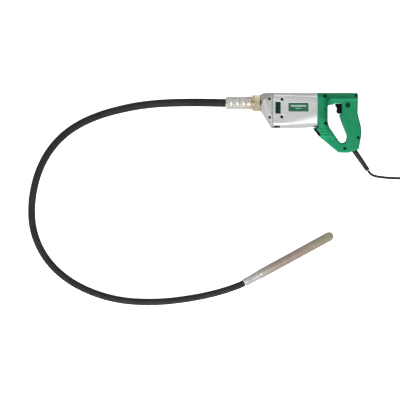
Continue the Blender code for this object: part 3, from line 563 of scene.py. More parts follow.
def coil_route():
    """The coil's turns, clockwise from its top: three in, three out on top, and a quarter to the plug."""
    levels = [(radius, height) for height, radii in COIL_LAYERS for radius in radii]
    turn_points, last_turn = 48, 0.25
    kept, moved = 0.55, 0.45        # shares of a turn at one radius and on the way to the next
    points = []
    for step in range(1, round((len(levels) + last_turn) * turn_points) + 1):
        turns = step / turn_points
        index = min(int(turns), len(levels) - 1)
        following = min(index + 1, len(levels) - 1)
        share = float(soft_step((turns - index - kept) / moved)) if index < len(levels) - 1 else 0.0
        radius, height = (a + (b - a) * share for a, b in zip(levels[index], levels[following]))
        angle = math.pi / 2 - 2 * math.pi * turns
        points.append(Vector((COIL_CENTRE[0] + radius * math.cos(angle),
                              COIL_CENTRE[1] + radius * math.sin(angle), height)))
    return points


def braid_look():
    """Rubber hose with the fine crossed print of its cloth wrapping."""
    look = Nodes("wrapped_rubber")
    strands, pitch = 14, 5.0
    uv = look.new('ShaderNodeUVMap', uv_map="length_and_angle").outputs[0]
    split = look.new('ShaderNodeSeparateXYZ', {"Vector": uv})
    around = look.maths('MULTIPLY', split.outputs[0], 2 * math.pi * strands)
    along = look.maths('MULTIPLY', split.outputs[1], 2 * math.pi / (pitch * MM))
    weave = look.maths('MULTIPLY', look.maths('SINE', look.maths('ADD', around, along)),
                       look.maths('SINE', look.maths('SUBTRACT', around, along)))
    dust = look.noise(22.0, 4.0)
    look.set(Base_Color=look.ramp(dust, (0.010, 0.011, 0.011), (0.017, 0.018, 0.018)))
    look.set(Roughness=look.ramp(look.noise(180.0, 3.0), 0.44, 0.60), Specular_IOR_Level=0.25,
             Normal=look.bump(weave, 0.05, look.bump(look.noise(1300.0, 3.0), 0.05)))
    return look.material


def make_hose():
    """The rubber hose, thinner towards the head, with the collar at its far end."""
    route = smooth_route(HOSE_ROUTE, 9.0)
    share = np.linspace(0, 1, len(route))
    radii = HOSE_DIAMETER / 2 * np.interp(share, [0, 0.05, 0.26, 1], [1.09, 1.08, 1.0, 0.87])
    hose = swept("rubber_hose", route, radii, 40)
    finish_piece(hose, braid_look(), ["hose"], sharp=60)
    profile = rounded([(22.7, 6.2, 0), (22.7, 11.8, 0.8), (0.0, 11.8, 0.8), (0.0, 6.2, 0)])
    collar = finish_piece(lathe("head_collar", HEAD, profile, [(11.0, 6.2)]), "zinc", ["head_ferrule"])


def make_cord():
    """The mains cord from the boot through its coil to the plug."""
    route = smooth_route(CORD_ROUTE, 6.0)
    top = Vector((COIL_CENTRE[0], COIL_CENTRE[1] + COIL_LAYERS[0][1][0], COIL_LAYERS[0][0]))
    route += [route[-1].lerp(top, share) for share in (0.25, 0.5, 0.75, 1.0)]
    route += coil_route()
    plug_entry = Vector((PLUG_X, PLUG_START - 3.0, PLUG_HEIGHT))
    route += smooth_route([route[-1], (PLUG_X, -266.0, 13.2), plug_entry], 6.0)[1:]
    cord = swept("mains_lead", route, np.full(len(route), CORD_DIAMETER / 2), 20)
    finish_piece(cord, "rubber", ["mains_cord", "cord_coil"], sharp=60)
    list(make_plug())
    make_tie()


def make_plug():
    """A two-pin plug: a flared body with finger grips, and a ribbed strain relief round the cord."""
    half = [(17, 68, 3), (19, 46, 10), (8, 29, 8)]
    corners = half + [(-across, along, radius) for across, along, radius in half[::-1]]
    outline = outline_of([(PLUG_X + across, PLUG_START - along, radius) for across, along, radius in corners])

    def field(x, y, z):
        across, up, along = x - PLUG_X, z - PLUG_HEIGHT, PLUG_START - y
        body = round_max(polygon(outline, x, y), np.abs(up) - PLUG_HEIGHT + 0.4, 4.0)
        for side in (-1, 1):
            for index in range(5):
                grip = hypot(along - 44 - 3.6 * index, up - side * (PLUG_HEIGHT + 0.5))
                body = less(body, common(grip, np.abs(across) - 8.0) - 1.5)
        relief = cylinder(across, up, along, 0.4, 40, 6.4, 0.8)
        for index in range(6):
            relief = less(relief, common(np.abs(along - 4.5 - 4.2 * index) - 1.0, 5.0 - hypot(across, up)))
        return common(round_min(body, relief, 2.5), 4.2 - hypot(across, up) - 200 * (along > 30))

    low = (PLUG_X - 20, PLUG_START - 68, 0)
    high = (PLUG_X + 20, PLUG_START, 2 * PLUG_HEIGHT)
    body = sculpted("moulded_plug", field, low, high, 0.6, 0.3, 22000)
    pieces = [finish_piece(body, "rubber", ["plug_body"], sharp=55)]
    for number, offset in ((1, -9.5), (2, 9.5)):
        pin = lathe(f"plug_contact_{number}", axis_frame(PLUG_X + offset, PLUG_START - 68, PLUG_HEIGHT, -90),
                    [(19.0, 0.9), (18.6, 1.6), (17.8, 2.15), (16.8, 2.4), (0.3, 2.4)], sides=32)
        pieces.append(finish_piece(pin, "brass", [f"plug_pin_{number}"]))
    return pieces


def make_tie():
    """A strap round the coil's turns."""
    low, high = millimetres("cord_tie")

    def field(x, y, z):
        strap = block(x, y, z, (low[0] + 0.2, low[1], low[2] - 0.05), (high[0] - 0.2, high[1], high[2]), 1.0)
        inside = (-1, low[1] + 1.3, low[2] + 1.0), (1, high[1] - 1.3, high[2] - 1.3)
        return less(strap, block(x * 0, y, z, *inside, 2.4))

    strap = sculpted("coil_strap", field, low, high, 0.35, 0.2, 12000)
    return finish_piece(strap, "black_plastic", ["cord_tie"], sharp=60)


# ------------ hose fittings

def crimped(low, high, pitch, around, depth):
    """Radius with staggered pressed dimples between two places."""
    def shape(place, radius, angle):
        row = np.round((place - low) / pitch)
        inside = (place > low - pitch / 2) & (place < high + pitch / 2)
        off_row = (place - low - row * pitch) / (pitch * 0.5)
        turn = angle * around / (2 * np.pi) + 0.5 * (row % 2)
        off_turn = (turn - np.round(turn)) / 0.5
        bowl = np.clip(1 - off_row ** 2 - off_turn ** 2, 0, 1)
        return radius - depth * inside * bowl ** 0.8
    return shape


def stations(profile, spacing):
    """The profile with points no further apart than spacing."""
    made = [profile[0]]
    for (a, b), (c, d) in zip(profile, profile[1:]):
        steps = max(1, math.ceil(math.hypot(c - a, d - b) / spacing))
        made += [(a + (c - a) * k / steps, b + (d - b) * k / steps) for k in range(1, steps + 1)]
    return made


def zinc_tint_and_painted_light(name, rough, high, direction, start, reach, band_colours):
    """Zinc plating coloured in bands along one direction, over a fine turned finish: passivation tints along
    the ferrule and the head, and on the nut painted highlight and shade from its bottom to its top.
    """
    look = Nodes(name)
    placed = look.new('ShaderNodeVectorMath', {0: look.place, 1: start}, operation='SUBTRACT').outputs[0]
    run = look.new('ShaderNodeVectorMath', {0: placed, 1: direction}, operation='DOT_PRODUCT').outputs[1]
    wander = look.maths('MULTIPLY', look.maths('SUBTRACT', look.noise(26.0, 3.0), 0.5), 0.10)
    share = look.maths('ADD', look.ramp(run, 0.0, 1.0, reach[0] * MM, reach[1] * MM), wander)
    ramp = look.new('ShaderNodeValToRGB', {0: share})
    elements = ramp.color_ramp.elements
    while len(elements) < len(band_colours):
        elements.new(0.5)
    for element, (position, colour) in zip(elements, band_colours):
        element.position = position
        element.color = (*colour, 1.0)
    cloud = look.noise(70.0, 4.0)
    look.set(Base_Color=look.mix(look.ramp(cloud, 0.0, 0.22), ramp.outputs[0], high), Metallic=1.0,
             Roughness=look.ramp(cloud, *rough), Normal=look.bump(look.noise(900.0), 0.015))
    return look.material


def make_fittings():
    """The crimped ferrule and the hex nut that hold the hose to the gearbox."""
    ferrule_look = zinc_tint_and_painted_light("crimped_zinc", (0.18, 0.32), (0.80, 0.79, 0.73), (0, 0, 1), (0, 0, -201 * MM),
                              (0, 77), [(0.0, (0.72, 0.73, 0.67)), (0.60, (0.74, 0.73, 0.66)),
                                        (0.80, (0.74, 0.66, 0.60)), (1.0, (0.70, 0.57, 0.42))])
    outer = [(-124.9, 17.6), (-125.3, 18.6), (-126.2, 19.5), (-127.2, 19.6), (-133.4, 19.6), (-134.6, 19.2),
             (-137.2, 18.7), (-138.4, 18.6), (-195.5, 18.6), (-197.6, 18.4), (-199.6, 17.6), (-200.7, 16.4)]
    ferrule = lathe("crimped_ferrule", SPINDLE, stations(outer, 0.8), [(-200.7, 12.1), (-124.9, 11.2)], 140,
                    crimped(-195.8, -142.1, 8.95, 9, 1.6))
    finish_piece(ferrule, ferrule_look, ["hose_ferrule"], sharp=50)

    # Painted light: the nut's colour bands run from its bottom to its top, with painted shade just above the
    # middle and a painted highlight on the top faces; only the yellow tint is the plating's own colour.
    nut_tint_and_painted_light = zinc_tint_and_painted_light("yellow_zinc_painted_light", (0.20, 0.36), (0.78, 0.70, 0.52), (1, 0, 0), (0, 0, 0), (-24, 24),
                          [(0.0, (0.60, 0.53, 0.40)), (0.42, (0.58, 0.52, 0.36)),
                           (0.55, (0.50, 0.43, 0.27)), (1.0, (1.00, 0.84, 0.64))])
    flats = 24.0

    def hexagon(place, radius, angle):
        corner = np.mod(angle + np.pi / 6, np.pi / 3) - np.pi / 6
        return np.minimum(radius, flats / np.cos(corner))

    corner = flats / math.cos(math.pi / 6)
    outer = [(-100.6, flats - 1.4), (-100.6, flats - 0.6), (-102.8, corner), (-116.6, corner),
             (-117.4, corner - 0.2), (-118.0, flats - 0.4), (-118.9, flats - 1.6), (-119.6, flats - 1.6),
             (-120.4, flats - 0.7), (-122.6, flats - 0.7), (-123.8, flats - 1.3), (-124.4, flats - 2.4)]
    bore = [(-124.4, 11.6), (-120.8, 11.6), (-120.8, 18.4), (-103.2, 18.4), (-100.6, 21.0)]
    nut = lathe("union_nut", SPINDLE, stations(outer, 0.4), bore, 216, hexagon)
    finish_piece(nut, nut_tint_and_painted_light, ["coupling_nut"], "coupling_nut", sharp=24)


def make_head():
    """The vibrating head's tube with its round tip, and its neck."""
    casing_look = zinc_tint_and_painted_light("iridescent_zinc", (0.17, 0.30), (0.62, 0.56, 0.48), (0, 0, 1), (0, 0, 0),
                             (20, 293), [(0.0, (0.66, 0.66, 0.58)), (0.14, (0.60, 0.57, 0.50)),
                                         (0.34, (0.50, 0.40, 0.36)), (0.55, (0.50, 0.36, 0.33)),
                                         (0.72, (0.50, 0.42, 0.33)), (0.86, (0.42, 0.39, 0.27)),
                                         (0.95, (0.42, 0.40, 0.29)), (1.0, (0.50, 0.48, 0.38))])
    neck = lathe("head_neck_turned", HEAD, rounded([(62.0, 10.2, 0), (49.7, 10.2, 0.2), (49.7, 12.9, 0.6),
                                                    (47.5, 12.9, 1.5), (25.0, 11.9, 3.0), (23.0, 11.6, 0)]),
                 [(23.0, 6.2), (62.0, 6.2)])
    finish_piece(neck, "zinc", ["head_neck"])
    tip = [(HEAD_LENGTH - HEAD_RADIUS * (1 - math.cos(a)), HEAD_RADIUS * math.sin(a))
           for a in map(math.radians, range(3, 91, 6))]
    outer = tip + [(62.0, HEAD_RADIUS), (61.6, 13.2), (60.8, 13.2), (60.4, HEAD_RADIUS), (50.8, HEAD_RADIUS),
                   (50.2, 13.2), (50.0, 12.6)]
    bore = [(50.0, 10.5), (279.0, 10.5), (281.5, 8.0), (281.5, 0.0)]
    casing = lathe("vibrating_head", HEAD, [(HEAD_LENGTH, 0.0)] + outer + bore, sides=96)
    finish_piece(casing, casing_look, ["head_casing"], sharp=30)


# ------------ motor housing

HOUSING_SCREWS = [(-37.8, 32.2), (-38.6, -18.3)]
NOSE_SCREWS = [(-74.4, 33.8), (-74.2, -20.0)]
HANDLE_SCREWS = [(85.6, 41.8), (176.4, 43.2), (88.0, -37.0), (183.0, -78.3), (144.4, -109.6)]
LOCK_BUTTON = (152.5, 15.7)
PIN_HOLE = (-71.0, -33.0)
MOTOR_BORE = 37.5
BEARING_PLATE_RADIUS = 40.3
CORNER = 16.0
WEDGE_ANGLE = math.radians(13)      # slope of the casting's rear facets
# The vents and the air outlets of both sides, as lowest and highest corners
HOUSING_OPENINGS = [
    ((-57.0, -8.7, 75), (-42.0, 25.0, 92)), ((-57.0, -8.7, -4), (-42.0, 25.0, 13)),
    ((-61.8, -60, 72), (-44.4, -20, 84)), ((-61.8, -60, 4), (-44.4, -20, 16)),
]


def casting_section(x, y, z):
    """Rounded square whose sides slope away above and below as they near the handle."""
    side = np.abs(z - AXIS_HEIGHT) - HOUSING_WIDTH / 2
    section = side
    for sign, rear_start, front_start in ((-1, 19.5, 36.5), (1, 31.5, 43.5)):
        start = rear_start + (front_start - rear_start) * (HOUSING_REAR - x) / 66.0
        facet = side * math.cos(WEDGE_ANGLE) + (sign * y - start) * math.sin(WEDGE_ANGLE)
        section = round_max(section, facet, 2.0)
    edge = np.maximum(y - HOUSING_TOP, HOUSING_BOTTOM - y)
    return round_max(section, edge, CORNER)


def housing_field(x, y, z):
    reach = hypot(y, z - AXIS_HEIGHT)
    ends = common(HOUSING_FRONT - x, x - HOUSING_REAR)
    rear_cut = (-(y + 48.5) + 0.14 * (x - 60.0)) * 0.99
    body = round_max(round_max(casting_section(x, y, z), rear_cut, 6.0), ends, 1.0)
    body = less(common(body, MOTOR_BORE - reach), common(reach - BEARING_PLATE_RADIUS, x + 58.0),
                *(block(x, y, z, low, high, 1.5) for low, high in HOUSING_OPENINGS),
                block(x, y, z, (-19.7, -3.2, HOUSING_WIDTH - 0.9), (39.0, 22.6, HOUSING_WIDTH + 5), 2.0))
    for sx, sy in HOUSING_SCREWS:
        reach = hypot(x - sx, y - sy)
        body = less(body, common(reach - 4.5, HOUSING_WIDTH - 5 - z),
                    common(reach - 2.4, HOUSING_WIDTH - 12 - z))
    return body


def make_housing():
    """The motor's casting, and in each side's vent a grille with cross bars, with a dark sheet behind them as
    painted shade in the vent's windows.
    """
    body = sculpted("housing_casting", housing_field, HOUSING_LOW, HOUSING_HIGH, 0.9, 0.45, 150000)
    finish_piece(body, "aluminium", ["motor_housing"], sharp=50)
    # inner is the height of each vent's dark sheet of painted shade.
    for side, z0, z1, inner in (("left", 84.0, 87.0, 78.6), ("right", 1.0, 4.0, 8.2)):
        low, high = (-56.7, -8.4, min(z0, inner)), (-42.3, 24.7, max(z1, inner + 1.2))

        def field(x, y, z):
            bars = less(block(x, y, z, (-56.7, -8.4, z0), (-42.3, 24.7, z1), 0.6),
                        *(block(x, y, z, (-54.7, y0, z0 - 5), (-44.3, y1, z1 + 5), 0.8)
                          for y0, y1 in ((-6.4, 1.5), (3.3, 12.1), (13.9, 22.7))))
            # Painted shade: a dark sheet behind the bars stands in for the shade inside the vent's windows.
            shade_sheet = block(x, y, z, (-56.0, -7.7, inner), (-43.0, 24.0, inner + 1.2), 0.4)
            wall = less(block(x, y, z, low, high, 0.4),
                        block(x, y, z, (-55.6, -7.3, z0 - 9), (-43.4, 23.6, z1 + 9), 0.4))
            return union(bars, shade_sheet, wall)

        grille = sculpted(f"grille_{side}", field, low, high, 0.4, 0.15, 16000)
        finish_piece(grille, "dark_green_plastic", [f"vent_grille_{side}"], sharp=50)


def make_outlet_shade_fill():
    """Dark blocks that fill the air outlets in the housing's lower corners, just below the surface, as
    painted shade in the outlets.
    """
    for side, z0, z1 in (("left", 72.2, 83.8), ("right", 4.2, 15.8)):
        low, high = (-61.5, -52.0, z0), (-44.7, -38.0, z1)

        def field(x, y, z):
            # Painted shade: a solid black block, not louvres, where the outlet would only show shade.
            return common(block(x, y, z, low, high, 0.4), casting_section(x, y, z) + 1.3)

        shade_fill = sculpted(f"outlet_painted_shade_{side}", field, low, high, 0.4, 0.1, 4000)
        finish_piece(shade_fill, "black_plastic", sharp=50)


def plate(name, low, high, rounding, *mesh):
    """A block with rounded edges as a piece of its own."""
    return sculpted(name, lambda x, y, z: block(x, y, z, low, high, rounding), low, high, *mesh)


def make_badge():
    """A plain enamelled plate with two blank light bars."""
    low, high = (-19.4, -2.9, HOUSING_WIDTH - 0.7), (38.7, 22.3, HOUSING_WIDTH + 0.3)
    finish_piece(plate("badge_enamel", low, high, 0.45, 0.35, 0.1, 8000), "badge", ["badge_plate"], sharp=60)
    for name, width, height, up in (("badge_bar_wide", 45.0, 5.0, 3.4), ("badge_bar_short", 19.0, 2.2, -3.6)):
        x0 = (low[0] + high[0]) / 2 - width / 2
        y0 = (low[1] + high[1]) / 2 + up - height / 2
        z0 = HOUSING_WIDTH + 0.2
        bar = plate(name, (x0, y0, z0), (x0 + width, y0 + height, z0 + 0.3), 0.14, 0.25, 0.0, 3000)
        finish_piece(bar, "badge_print", sharp=60)


# ------------ gearbox nose

def hull_planes(points):
    """Normals and offsets of the faces of the points' convex hull."""
    shape = bmesh.new()
    for point in points:
        shape.verts.new(point)
    bmesh.ops.convex_hull(shape, input=shape.verts)
    bmesh.ops.delete(shape, geom=[v for v in shape.verts if not v.link_faces], context='VERTS')
    bmesh.ops.dissolve_limit(shape, angle_limit=math.radians(2), verts=shape.verts, edges=shape.edges)
    bmesh.ops.recalc_face_normals(shape, faces=shape.faces)
    shape.normal_update()
    planes = [(tuple(face.normal), face.normal.dot(face.verts[0].co)) for face in shape.faces]
    shape.free()
    return planes


NOSE_FRONT = -100.3


def nose_planes():
    """The nose's flat faces, from the housing's section at its rear to a small face round the spindle."""
    half = HOUSING_WIDTH / 2 - 0.3
    section = outline_of([(HOUSING_BOTTOM, -half, CORNER), (HOUSING_TOP, -half, CORNER),
                          (HOUSING_TOP, half, CORNER), (HOUSING_BOTTOM, half, CORNER)])
    rear = [(x, y, z) for x in (HOUSING_FRONT - 0.3, -68.0) for y, z in section]
    shoulders = [(-92.5, 50.4, 22), (-88.0, 44.0, 36), (-94.5, 26.0, 39), (-71.5, -20.0, half),
                 (-90.0, 34.0, 41)]
    middle = [(x, y, z * side) for side in (-1, 1) for x, y, z in shoulders]
    face = outline_of([(-0.5, -24, 12), (46.5, -24, 9), (46.5, 24, 9), (-0.5, 24, 12)])
    return hull_planes(rear + middle + [(NOSE_FRONT, y, z) for y, z in face])


def make_nose():
    """The gearbox's casting, hollow for the gears and the spindle."""
    planes = nose_planes()
    holes = [(place, depth, radius) for place in NOSE_SCREWS for depth, radius in ((5.2, 3.6), (13.5, 2.1))]
    holes.append((PIN_HOLE, 6.0, 1.4))

    def field(x, y, z):
        w, up = z - AXIS_HEIGHT, y - SPINDLE_OFFSET
        hull = common(*(x * nx + y * ny + w * nz - offset for (nx, ny, nz), offset in planes))
        return less(round_min(hull, cylinder(up, w, x, -116.2, -95.0, 18.0, 0.6), 1.5),
                    cylinder(up, w, x, -86.5, -60, 17.5), cylinder(y, w, x, -86.5, -60, 12.0),
                    cylinder(y, w, x, -66.6, -60, BEARING_PLATE_RADIUS), cylinder(up, w, x, -95, -80, 14.3),
                    cylinder(up, w, x, -120, -94, 9.0),
                    *(cylinder(x - hx, y - hy, z, HOUSING_WIDTH - depth, 95, radius)
                      for (hx, hy), depth, radius in holes))

    low, high = (-116.2, HOUSING_BOTTOM, 0.3), (HOUSING_FRONT - 0.3, HOUSING_TOP, HOUSING_WIDTH - 0.3)
    nose = sculpted("nose_casting", field, low, high, 0.9, 0.8, 110000)
    finish_piece(nose, "casting", ["gearbox_nose"], sharp=55)


# ------------ screws

def screw_mesh(name, radius, height, shank, length):
    """A pan head with a cross recess, its top at the origin, pointing down local Z."""
    def field(x, y, z):
        head = round_max(hypot(x, y) - radius, np.abs(z + height / 2) - height / 2, radius * 0.3)
        crown = np.sqrt(x * x + y * y + (z + 3.2 * radius) ** 2) - 3.2 * radius
        taper = 0.62 * radius + 0.25 * z
        recess = [common(np.abs(a) - 0.13 * radius, np.abs(b) - taper, -z - 0.5 * radius)
                  for a, b in ((x, y), (y, x))]
        head = less(common(head, crown), *recess)
        return union(head, cylinder(x, y, z, -height - length, -height + 0.5, shank, 0.4))

    return sculpted(name, field, (-radius, -radius, -height - length), (radius, radius, 0), 0.22, 0.08, 6000)


def make_screws():
    groups = [("handle_screw", HANDLE_SCREWS, 60.6, (3.8, 3.3, 2.0, 25.6)),
              ("housing_screw", HOUSING_SCREWS, HOUSING_WIDTH - 1.2, (4.1, 3.3, 2.0, 5.5)),
              ("nose_screw", NOSE_SCREWS, HOUSING_WIDTH - 2.0, (3.2, 2.8, 1.7, 8.0))]
    for group, places, top, sizes in groups:
        screw = None
        for number, (x, y) in enumerate(places, 1):
            name = f"{group}_recessed_{number}"
            screw = bpy.data.objects.new(name, screw.data) if screw else screw_mesh(name, *sizes)
            screw.matrix_world = upright(x, y, top) @ Matrix.Rotation(0.7 * number, 4, 'Z')
            finish_piece(screw, "dark_steel", [f"{group}_{number}"], sharp=45)


# ------------ handle

GRIP_HALF, STRIP_HALF, COLUMN_HALF = 21.0, 17.5, 43.0
HALF_GAP = 0.15                                 # between each half's rim and the middle plane
MARKS_FROM = 15.0                               # grooves and ribs are on the sides, beyond this half width
FRONT = HOUSING_REAR + 0.3
HANDLE_OUTLINE = [
    (FRONT, HOUSING_TOP, 1), (183.0, HOUSING_TOP, 6), (181.4, -8.0, 40),
    (194.6, -60.0, 90), (185.0, -112.0, 5), (166.0, -119.0, 3), (156.0, -122.6, 4),
    (126.2, -122.6, 16), (70.8, -76.6, 60), (50.6, -51.2, 2), (FRONT, -47.0, 0),
]
HAND_OPENING = [
    (94.5, 15.4, 4), (112.6, 17.6, 2), (114.6, 20.9, 1.5), (135.4, 20.9, 3), (135.4, -10.0, 2.5),
    (127.0, -10.2, 3), (133.4, -32.0, 80), (150.4, -74.0, 18), (145.5, -93.2, 11),
    (130.5, -93.2, 12), (96.8, -45.0, 40), (94.5, -30.0, 20),
]
COLUMN_OUTLINE = [
    (FRONT, HOUSING_TOP, 0), (104.0, HOUSING_TOP, 0), (95.5, -30.0, 6),
    (122.0, -72.0, 4), (110.0, -108.0, 0), (70.8, -76.6, 60), (50.6, -51.2, 2),
    (FRONT, -47.0, 0),
]
# The grip's sides stand higher inside this outline
RAISED = [(94.0, 37.5, 13), (230.0, 37.5, 0), (230.0, -200.0, 0), (94.0, -200.0, 0)]
CREST = 3.2                                     # the raised part's rim stands above its middle
SHOULDER = ((84.5, 45.0), (96.5, 20.0))         # the column narrows from its full width to the grip
SHOULDER_TURN, SHOULDER_LEAN = -40.0, 0.7       # below this height the slope follows the hand opening
FOOT = ((-44.0, 45.0), (-84.0, 20.0))           # and again towards its lower end: y and half width
FOOT_ROUNDING = 16.0
GROOVES = [((73.0, -52.5), (92.5, -52.5)), ((76.0, -60.9), (98.0, -60.9)), ((81.0, -69.3), (100.0, -69.3))]
RIBS = [((74.5, y), (86.5, y)) for y in (8.0, 1.8, -4.4, -10.6, -16.8)]
INLET_EDGE = ((50.6, -51.2), (0.622, -0.783), (0.783, 0.622))   # its start, along it and inward
SWITCH_ROOM = [(138.4, 32, 3), (176.0, 32, 3), (177.0, -10, 6), (181.0, -60, 6), (152.0, -60, 3),
               (141.5, -26, 6), (138.4, -10, 3)]


def inlet_outline(start, end, outer, inner):
    """Corners of a strip along the handle's lower front edge, in millimetres along and into it."""
    (x, y), (ax, ay), (ix, iy) = INLET_EDGE
    places = (start, outer), (start, inner), (end, inner), (end, outer)
    return [(x + ax * along + ix * depth, y + ay * along + iy * depth) for along, depth in places]


def slope(points, u, v):
    """Signed distance to the line through two points, positive towards growing v."""
    (u0, v0), (u1, v1) = points
    span = math.hypot(u1 - u0, v1 - v0)
    return ((v - v0) * abs(u1 - u0) + (u - u0) * (v0 - v1) * (1 if u1 > u0 else -1)) / span


def marks(lines, x, y, w, depth, half_width, edge):
    """Depth of straight grooves, with soft edges, in both sides of the handle."""
    nearest = union(*(segment(x, y, start, end) for start, end in lines))
    return depth * soft_step((half_width - nearest) / edge) * (w > MARKS_FROM)


def handle_field(x, y, z):
    """Both halves in one: a flat grip frame, and the wide column that closes the motor."""
    w = np.abs(z - AXIS_HEIGHT)
    outline = polygon(outline_of(HANDLE_OUTLINE), x, y)
    opening = -polygon(outline_of(HAND_OPENING), x, y)
    inwards = -polygon(outline_of(RAISED), x, y)
    rise = np.sqrt(1 - (1 - np.clip(inwards / 2.5, 0, 1)) ** 2)
    crest = CREST * (1 - soft_step((inwards - 2.5) / 8.5))
    thick = w - (STRIP_HALF + rise * (GRIP_HALF - STRIP_HALF + crest))
    grip = common(round_max(outline, thick, 6.0), round_max(opening, thick, 6.5))

    shoulder = slope(SHOULDER, x - SHOULDER_LEAN * np.maximum(SHOULDER_TURN - y, 0), w)
    column = round_max(polygon(outline_of(COLUMN_OUTLINE), x, y), w - COLUMN_HALF, 2.5)
    column = common(column, round_max(w - COLUMN_HALF, y - HOUSING_TOP, CORNER))
    column = round_max(round_max(column, shoulder, 5.0), slope(FOOT, y, w), FOOT_ROUNDING)
    body = common(round_min(grip, column, 5.0), opening, outline)
    return body + marks(GROOVES, x, y, w, 2.7, 2.4, 1.4) + marks(RIBS, x, y, w, 1.8, 2.0, 1.2)


def handle_rooms(x, y, z):
    """Openings and hollows: switch room, trigger slot, cord and boot holes, air inlet and wells."""
    w = z - AXIS_HEIGHT
    u, v, s = along_frame(BOOT, x, y, z)
    wells = [(LOCK_BUTTON, 61.0, 70.0, 6.8)]
    wells += [(place, *size) for place in HANDLE_SCREWS for size in ((57.0, 95.0, 4.35), (31.0, 60.0, 2.4))]
    return union(common(polygon(outline_of(SWITCH_ROOM), x, y), np.abs(w) - 18.3),
                 block(x, y, z, (134.0, -9.8, 34.8), (140.0, 20.7, 53.2), 0.5),
                 block(x, y, z, (153.6, -102, 35), (174.4, -58, 53), 0.5),
                 block(x, y, z, (60.0, -36, 6), (79.0, 36, 82), 0.5),
                 cylinder(u, v, s, -19, -8.6, 10.4), cylinder(u, v, s, -12, 14, 8.3),
                 common(polygon(inlet_outline(5.0, 31.0, -1.5, 6.6), x, y), np.abs(w) - 60),
                 *(cylinder(x - wx, y - wy, z, *size) for (wx, wy), *size in wells))


def make_handle():
    """The two halves of the handle, which meet on the tool's middle plane."""
    (x0, y0, _), (x1, y1, _) = millimetres("handle_shell_left")
    for side, sign in (("left", 1), ("right", -1)):
        def field(x, y, z):
            half = round_max(handle_field(x, y, z), HALF_GAP - sign * (z - AXIS_HEIGHT), 0.8)
            return less(half, handle_rooms(x, y, z))

        z0, z1 = sorted((AXIS_HEIGHT, AXIS_HEIGHT + sign * COLUMN_HALF))
        half = sculpted(f"handle_half_{side}", field, (x0, y0, z0), (x1, y1, z1), 0.9, 0.4, 120000)
        finish_piece(half, "green_plastic", [f"handle_shell_{side}"], sharp=55)


def make_inlet_grille():
    """Black fins in the air inlet, across the column, with a plate at each end."""
    outline = inlet_outline(5.3, 30.7, 0.2, 6.3)
    pitch, half_fin, plate_depth = 5.0, 1.6, 2.0

    def field(x, y, z):
        w = z - AXIS_HEIGHT
        ends = round_max(np.abs(w) - COLUMN_HALF, slope(FOOT, y, np.abs(w)), FOOT_ROUNDING) + 1.3
        gap = np.abs(w - pitch * np.round(w / pitch)) - half_fin
        backing = segment(x, y, outline[1], outline[2]) - 1.4
        return less(common(polygon(outline, x, y), ends), common(gap, -backing, ends + plate_depth))

    low, high = (50.0, -80.0, AXIS_HEIGHT - 41.5), (76.0, -50.0, AXIS_HEIGHT + 41.5)
    finish_piece(sculpted("inlet_fins", field, low, high, 0.6, 0.15, 20000), "black_plastic", sharp=50)


def make_controls():
    """The trigger, the lock-on button and the mains cord's boot."""
    outline = outline_of([(116.2, 20.2, 2.0), (116.2, 14.5, 4), (120.4, 8.0, 8), (119.6, -4.5, 7),
                          (123.2, -9.2, 3.5), (134.0, -9.2, 0.6), (141.0, -8.2, 0.6), (141.0, 18.8, 0.6),
                          (134.8, 20.2, 0.6)])

    def field(x, y, z):
        w = z - AXIS_HEIGHT
        hollow = 1.1 * soft_step(1 - ((y - 4.0) / 11.0) ** 2) * soft_step(1 - (w / 8.5) ** 2)
        return round_max(polygon(outline, x - hollow, y), np.abs(w) - 8.6, 2.8)

    trigger = sculpted("trigger_lever", field, (115, -10, 35), (141, 21, 53), 0.45, 0.2, 24000)
    finish_piece(trigger, "black_plastic", ["trigger"], "trigger", sharp=60)
    outer = [(66.7, 0.01), (66.75, 2.0), (67.0, 3.6), (67.35, 4.4), (67.4, 4.9), (67.25, 5.6), (66.8, 6.15),
             (66.0, 6.4), (61.9, 6.4), (61.9, 7.6), (60.9, 7.6)]
    button = lathe("lock_knob", upright(*LOCK_BUTTON), outer, sides=64)
    finish_piece(button, "button_plastic", ["lock_button"], "lock_button")
    outer = [(BOOT_LENGTH, 4.3), (BOOT_LENGTH, 6.1), (BOOT_LENGTH - 0.6, 6.6)]
    for index in range(7):
        s, size = BOOT_LENGTH - 3.0 - 4.4 * index, 6.75 + 0.09 * index
        outer += [(s, size), (s - 0.3, size - 0.5), (s - 1.3, size - 0.5), (s - 1.6, size + 0.04)]
    outer += [(30.0, 7.5), (4.0, 7.9), (-8.9, 7.9), (-8.9, 10.0), (-13.0, 10.0)]
    finish_piece(lathe("strain_relief", BOOT, outer, [(-13.0, 4.3)], 56), "rubber", ["cord_boot"], sharp=45)


# ------------ stage

DOME = (0.80, 0.50)             # towards the tool's underside and towards its top
# Bright panels: where each one hangs, the cosines of its outer and inner edge, and its gain
PANELS = [
    ((-0.26, -0.42, 0.87), 0.870, 0.955, 0.85),
    ((-0.68, -0.15, 0.72), 0.880, 0.970, 0.40),
    ((-0.93, -0.32, -0.10), 0.850, 0.970, 0.45),
    ((0.00, 0.84, 0.54), 0.925, 0.975, 0.42),
]


def soft_box(name, place, target, size, watts):
    """A lamp that lights the tool without being seen or mirrored."""
    light = bpy.data.lights.new(name, 'AREA')
    light.shape = 'RECTANGLE'
    light.size, light.size_y = size
    light.energy = watts
    lamp = bpy.data.objects.new(name, light)
    lamp.location = place
    lamp.rotation_mode = 'QUATERNION'
    lamp.rotation_quaternion = (Vector(target) - lamp.location).to_track_quat('-Z', 'Y')
    lamp.visible_camera = False
    lamp.visible_glossy = False
    bpy.context.scene.collection.objects.link(lamp)


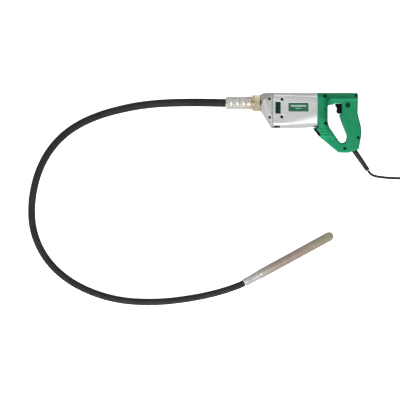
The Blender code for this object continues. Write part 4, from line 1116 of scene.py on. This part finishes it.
def make_world():
    """A plain studio: a grey dome, darker towards the tool's top, with soft bright panels."""
    world = bpy.data.worlds.new("studio")
    bpy.context.scene.world = world
    world.use_nodes = True
    studio = Nodes("studio", world.node_tree)
    direction = studio.coordinates["Generated"]
    up = studio.new('ShaderNodeSeparateXYZ', {0: direction}).outputs[1]
    total = studio.ramp(up, *DOME, -0.8, 0.8)
    for towards, outer, inner, gain in PANELS:
        facing = studio.new('ShaderNodeVectorMath', {0: direction, 1: Vector(towards).normalized()},
                            operation='DOT_PRODUCT').outputs[1]
        panel = studio.ramp(facing, 0.0, gain, outer, inner, interpolation_type='SMOOTHSTEP')
        total = studio.maths('ADD', total, panel)
    background = world.node_tree.nodes["Background"]
    background.inputs["Color"].default_value = (1.0, 1.0, 1.0, 1.0)
    studio.feed(background.inputs["Strength"], total)


def add_backdrop(name, look, height, build, **sizes):
    """A stage surface that the camera sees, and that the tool neither reflects nor is lit by."""
    mesh = bpy.data.meshes.new(name)
    shape = bmesh.new()
    build(shape, **sizes)
    shape.to_mesh(mesh)
    shape.free()
    mesh.materials.append(look)
    surface = bpy.data.objects.new(name, mesh)
    surface.location = (0, 0, height)
    bpy.context.scene.collection.objects.link(surface)
    surface.visible_glossy = False
    surface.visible_diffuse = False
    return surface


def make_stage():
    look = Nodes("pale_floor")
    look.set(Base_Color=(0.9, 0.9, 0.9), Roughness=0.8, Emission_Color=(1.0, 1.0, 1.0), Emission_Strength=1.0)
    add_backdrop("floor", look.material, -0.0006, bmesh.ops.create_grid,
                 x_segments=1, y_segments=1, size=12.0)
    wall = add_backdrop("backdrop", look.material, 0.0, bmesh.ops.create_uvsphere,
                        u_segments=64, v_segments=32, radius=35.0)
    wall.visible_shadow = False
    wall.visible_transmission = False
    make_world()
    soft_box("key", (-0.15, -1.4, 0.7), (0.05, -0.05, 0.05), (0.8, 0.5), 26)
    soft_box("rim", (-0.1, 1.5, 1.1), (0, 0, 0.05), (1.8, 0.5), 4)
    bpy.context.scene.view_settings.view_transform = 'Standard'


make_camera()
make_hose()
make_cord()
dress_cad_nodes()
make_fittings()
make_head()
make_housing()
make_outlet_shade_fill()
make_badge()
make_nose()
make_handle()
make_inlet_grille()
make_controls()
make_screws()
make_stage()
